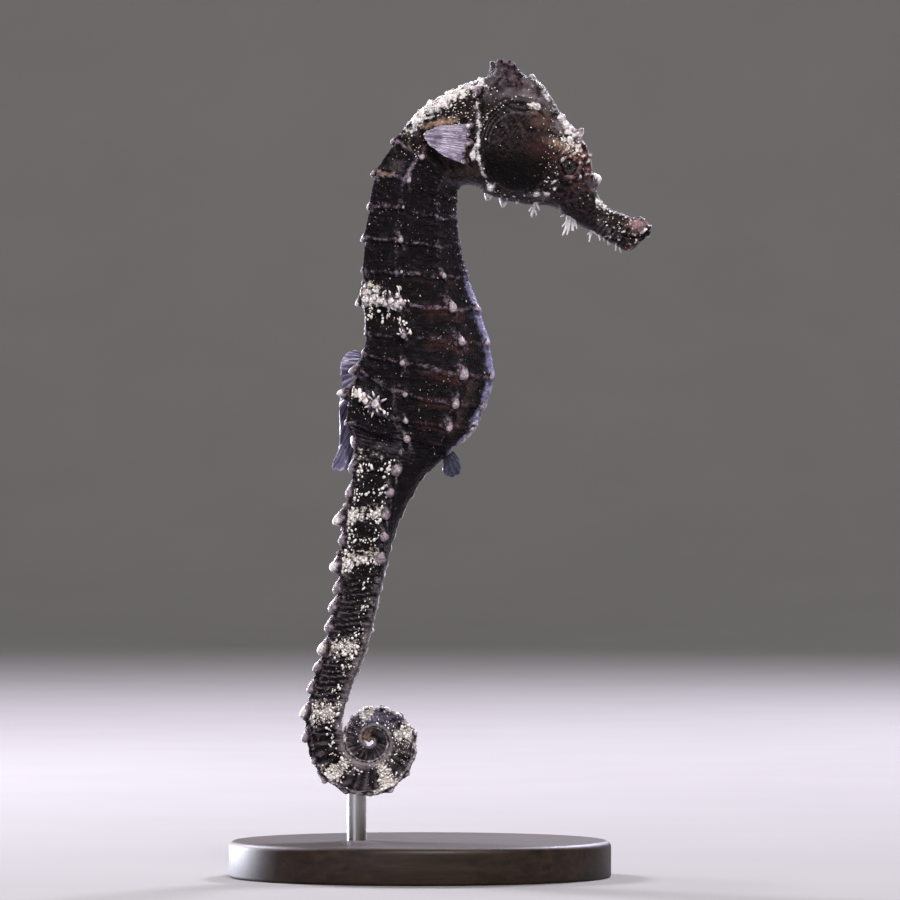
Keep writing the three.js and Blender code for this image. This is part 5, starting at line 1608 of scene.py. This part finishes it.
def fin_skin():
    """A fin's thin wet membrane between bony rays: cloudy lavender, paler along each ray, with a painted
    highlight along the free edge, and red-brown at a breast fin's root. The rays are about 0.35 mm apart."""
    material, tree = new_material("thin_wet_fin_membrane")
    place = add(tree, "TexCoord", out="Object")
    across = add(tree, "Attribute", out="Fac", attribute_name="across")
    out = add(tree, "Attribute", out="Fac", attribute_name="out")
    tint = add(tree, "Attribute", out="Fac", attribute_name="tint")
    cloud = add(tree, "TexNoise", {"Vector": place, "Scale": per_metre(1.3), "Detail": 4.0, "Roughness": .6})
    sway = add(tree, "Math", {0: cloud, 1: 1.5, 2: across}, operation="MULTIPLY_ADD")
    turn = add(tree, "Math", {0: sway, 1: 2 * math.pi}, operation="MULTIPLY")
    ray = add(tree, "Math", {0: turn}, operation="COSINE")
    ray = add(tree, "MapRange", {"Value": ray, "From Min": .0, "From Max": 1.0},
        interpolation_type="SMOOTHSTEP")
    thread_place = add(tree, "CombineXYZ", {"X": across, "Y": out})
    thread_place = add(tree, "Mapping", {"Vector": thread_place, "Scale": (2.3, 2.0, 1)})
    threads_ = add(tree, "TexNoise", {"Vector": thread_place, "Scale": 1.0, "Detail": 4.0, "Roughness": .7})

    web = add(tree, "ValToRGB", {"Fac": tint}, stops=[(.1, "#191b2b"), (.5, "#44415c"), (1.0, "#5e536b")])
    shine = add(tree, "ValToRGB", {"Fac": tint}, stops=[(.1, "#3c4058"), (.5, "#a49cbd"), (1.0, "#ccc2dc")])
    pale = add(tree, "MapRange", {"Value": threads_, "From Min": .38, "From Max": .66})
    pale = add(tree, "Mix", {0: .55, 2: pale, 3: ray})
    patchy = add(tree, "MapRange", {"Value": cloud, "From Min": .35, "From Max": .62, "To Min": .3,
        "To Max": 1.35})
    pale = add(tree, "Math", {0: pale, 1: patchy}, operation="MULTIPLY", use_clamp=True)
    colour = add(tree, "Mix", {0: pale, 6: web, 7: shine}, out=2, data_type="RGBA")
    # Painted highlight along the fin's free edge.
    rim = add(tree, "MapRange", {"Value": out, "From Min": .92, "From Max": 1.0},
        interpolation_type="SMOOTHSTEP")
    rim = add(tree, "Math", {0: rim, 1: .7}, operation="MULTIPLY")
    colour = add(tree, "Mix", {0: rim, 6: colour, 7: shine}, out=2, data_type="RGBA")
    base_place = add(tree, "Math", {0: cloud, 1: .5, 2: out}, operation="MULTIPLY_ADD")
    fleshy = add(tree, "MapRange", {"Value": base_place, "From Min": .42, "From Max": .12},
        interpolation_type="SMOOTHSTEP")
    breast = add(tree, "MapRange", {"Value": tint, "From Min": .7, "From Max": .9})
    fleshy = add(tree, "Math", {0: fleshy, 1: breast}, operation="MULTIPLY")
    colour = add(tree, "Mix", {0: fleshy, 6: colour, 7: linear("#63413b")}, out=2, data_type="RGBA")

    solid = add(tree, "MapRange", {"Value": pale, "To Min": .8, "To Max": .98})
    solid = add(tree, "Math", {0: breast, 1: .15, 2: solid}, operation="MULTIPLY_ADD", use_clamp=True)
    height = add(tree, "Math", {0: threads_, 1: 1.2, 2: ray}, operation="MULTIPLY_ADD")
    bump = add(tree, "Bump", {"Height": height, "Strength": .6, "Distance": .08 * MM})
    shader = add(tree, "BsdfPrincipled", {
        "Base Color": colour, "Roughness": .33, "IOR": 1.4, "Alpha": solid, "Normal": bump,
        "Coat Weight": .2, "Coat Roughness": .15})
    add(tree, "OutputMaterial", {"Surface": shader})
    return material


def stained_wood():
    """Turned hardwood, stained near black and rubbed with satin lacquer: faint grain 1.2 mm apart."""
    material, tree = new_material("turned_stained_hardwood")
    place = add(tree, "TexCoord", out="Object")
    drawn = add(tree, "Mapping", {"Vector": place, "Rotation": (0, 0, .2), "Scale": (.06, 1, 1)})
    grain = add(tree, "TexNoise", {"Vector": drawn, "Scale": per_metre(1.2), "Detail": 6.0, "Roughness": .6,
        "Distortion": .4})
    pores = add(tree, "TexNoise", {"Vector": drawn, "Scale": per_metre(.35), "Detail": 3.0})
    stain = add(tree, "ValToRGB", {"Fac": grain}, stops=[(.32, "#17110e"), (.7, "#3a2a21")])
    bump = add(tree, "Bump", {"Height": pores, "Strength": .15, "Distance": .1 * MM})
    gloss = add(tree, "MapRange", {"Value": pores, "To Min": .48, "To Max": .62})
    shader = add(tree, "BsdfPrincipled", {
        "Base Color": stain, "Roughness": gloss, "Normal": bump,
        "Specular IOR Level": .32, "Coat Weight": .05, "Coat Roughness": .35})
    add(tree, "OutputMaterial", {"Surface": shader})
    return material


def drawn_steel():
    """Drawn stainless steel rod, brushed along its length with lines about 0.1 mm apart."""
    material, tree = new_material("drawn_stainless_steel")
    place = add(tree, "TexCoord", out="Object")
    drawn = add(tree, "Mapping", {"Vector": place, "Scale": (1, 1, .03)})
    lines = add(tree, "TexNoise", {"Vector": drawn, "Scale": per_metre(.1), "Detail": 2.0})
    tone = add(tree, "MapRange", {"Value": lines, "To Min": .52, "To Max": .68})
    gloss = add(tree, "MapRange", {"Value": lines, "To Min": .25, "To Max": .42})
    bump = add(tree, "Bump", {"Height": lines, "Strength": .2, "Distance": .03 * MM})
    shader = add(tree, "BsdfPrincipled", {
        "Base Color": tone, "Metallic": 1.0, "Roughness": gloss, "Normal": bump})
    add(tree, "OutputMaterial", {"Surface": shader})
    return material


def studio_paper():
    """Matt backdrop paper with a faint tooth."""
    material, tree = new_material("matt_backdrop_paper")
    place = add(tree, "TexCoord", out="Object")
    tooth = add(tree, "TexNoise", {"Vector": place, "Scale": per_metre(40), "Detail": 3.0})
    grey = add(tree, "ValToRGB", {"Fac": tooth}, stops=[(.0, "#82807e"), (1.0, "#888684")])
    shader = add(tree, "BsdfPrincipled", {"Base Color": grey, "Roughness": .95, "Specular IOR Level": .05})
    add(tree, "OutputMaterial", {"Surface": shader})
    return material


def dress(piece, material):
    piece.data.materials.clear()
    piece.data.materials.append(material)
    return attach(piece, "root")


hide, tissue, clear, membrane = seahorse_hide(), eye_tissue(), cornea_clear(), fin_skin()
FLESH = [
    "head", "snout", "coronet", "neck", "trunk_upper", "trunk_lower", "tail_base", "brood_pouch",
    "tail_upper", "tail_middle", "tail_coil_1", "tail_coil_2", "tail_coil_3", "tail_coil_4", "tail_tip",
]
dress(skin, hide)
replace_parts(skin, *FLESH)
dress(knobs, hide)
papillae_hide = bead_hide()
for beads in bead_pieces:
    dress(beads, papillae_hide)
for node_name, (globe, cornea) in eyes.items():
    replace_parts(dress(globe, tissue), node_name)
    dress(cornea, clear)
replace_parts(dress(dorsal, membrane), "dorsal_fin")
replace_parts(dress(anal, membrane), "anal_fin")
for node_name, fin in pectorals.items():
    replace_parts(dress(fin, membrane), node_name)
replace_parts(dress(base, stained_wood()), "stand_base")
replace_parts(dress(rod, drawn_steel()), "stand_rod")

# ---------- studio ----------

VIEW = Vector((4.08, 0, 58.06)) * MM
VIEW_WIDTH, CAMERA_AWAY, SENSOR = 122.4 * MM, 1.2, 36.0
PAPER_SIZE, PAPER_FORWARD, PAPER_RISE, PAPER_BEND = 6, 1.1, 4, .5  # metres


def make_backdrop():
    """A sheet of paper that lies flat under the stand and curves up far behind it."""
    bpy.ops.object.select_all(action="DESELECT")
    bpy.ops.mesh.primitive_plane_add(size=PAPER_SIZE, location=(0, -PAPER_FORWARD, cad_low.z))
    paper = settle(named("studio_floor"))
    only(paper)
    for edge in paper.data.edges:
        edge.select = all(paper.data.vertices[v].co.y > 1 for v in edge.vertices)
    bpy.ops.object.mode_set(mode="EDIT")
    bpy.ops.mesh.select_mode(type="EDGE")
    bpy.ops.mesh.extrude_region_move(TRANSFORM_OT_translate={"value": (0, 0, PAPER_RISE)})
    bpy.ops.object.mode_set(mode="OBJECT")
    for edge in paper.data.edges:
        edge.select = all(
            paper.data.vertices[v].co.y > 1 and paper.data.vertices[v].co.z < 1 for v in edge.vertices)
    bpy.ops.object.mode_set(mode="EDIT")
    bpy.ops.mesh.bevel(offset=PAPER_BEND, segments=24, affect="EDGES")
    bpy.ops.object.mode_set(mode="OBJECT")
    paper.data.materials.append(studio_paper())
    shade(paper)


def lamp(name, place, aim, size, watts, colour):
    bpy.ops.object.light_add(type="AREA", location=place)
    light = bpy.context.object
    light.name = name
    light.data.size, light.data.energy = size, watts
    light.data.color = linear(colour)[:3]
    light.rotation_euler = (Vector(aim) - Vector(place)).to_track_quat("-Z", "Y").to_euler()


make_backdrop()
middle = (0, 0, .06)
lamp("key_softbox", (.15, -.7, .95), middle, .24, 15.0, "#fffaf4")
lamp("fill_softbox", (-.6, -1.1, .3), middle, .5, 2.4, "#eef0ff")
lamp("rim_left", (-.55, .65, .5), middle, .2, 13.0, "#f4eeff")
lamp("rim_right", (.4, .8, .6), middle, .22, 15.5, "#ece8ff")
lamp("rim_low", (-.4, .45, .03), (0, 0, .03), .16, 9.0, "#eef0ff")
lamp("backdrop_wash", (0, 1.35, 1.5), (0, 1.75, .1), .9, 10.0, "#fbfaff")

sky = bpy.data.worlds.new("studio")
bpy.context.scene.world = sky
bpy.context.scene.view_settings.view_transform = "Standard"
sky.use_nodes = True
sky.node_tree.nodes["Background"].inputs["Color"].default_value = linear("#eef0f4")
sky.node_tree.nodes["Background"].inputs["Strength"].default_value = .2

bpy.ops.object.camera_add(location=VIEW - Vector((0, CAMERA_AWAY, 0)), rotation=(math.pi / 2, 0, 0))
camera = bpy.context.object
camera.data.sensor_width = SENSOR
camera.data.lens = SENSOR * CAMERA_AWAY / VIEW_WIDTH
camera.data.clip_start, camera.data.clip_end = .05, 20
bpy.context.scene.camera = camera
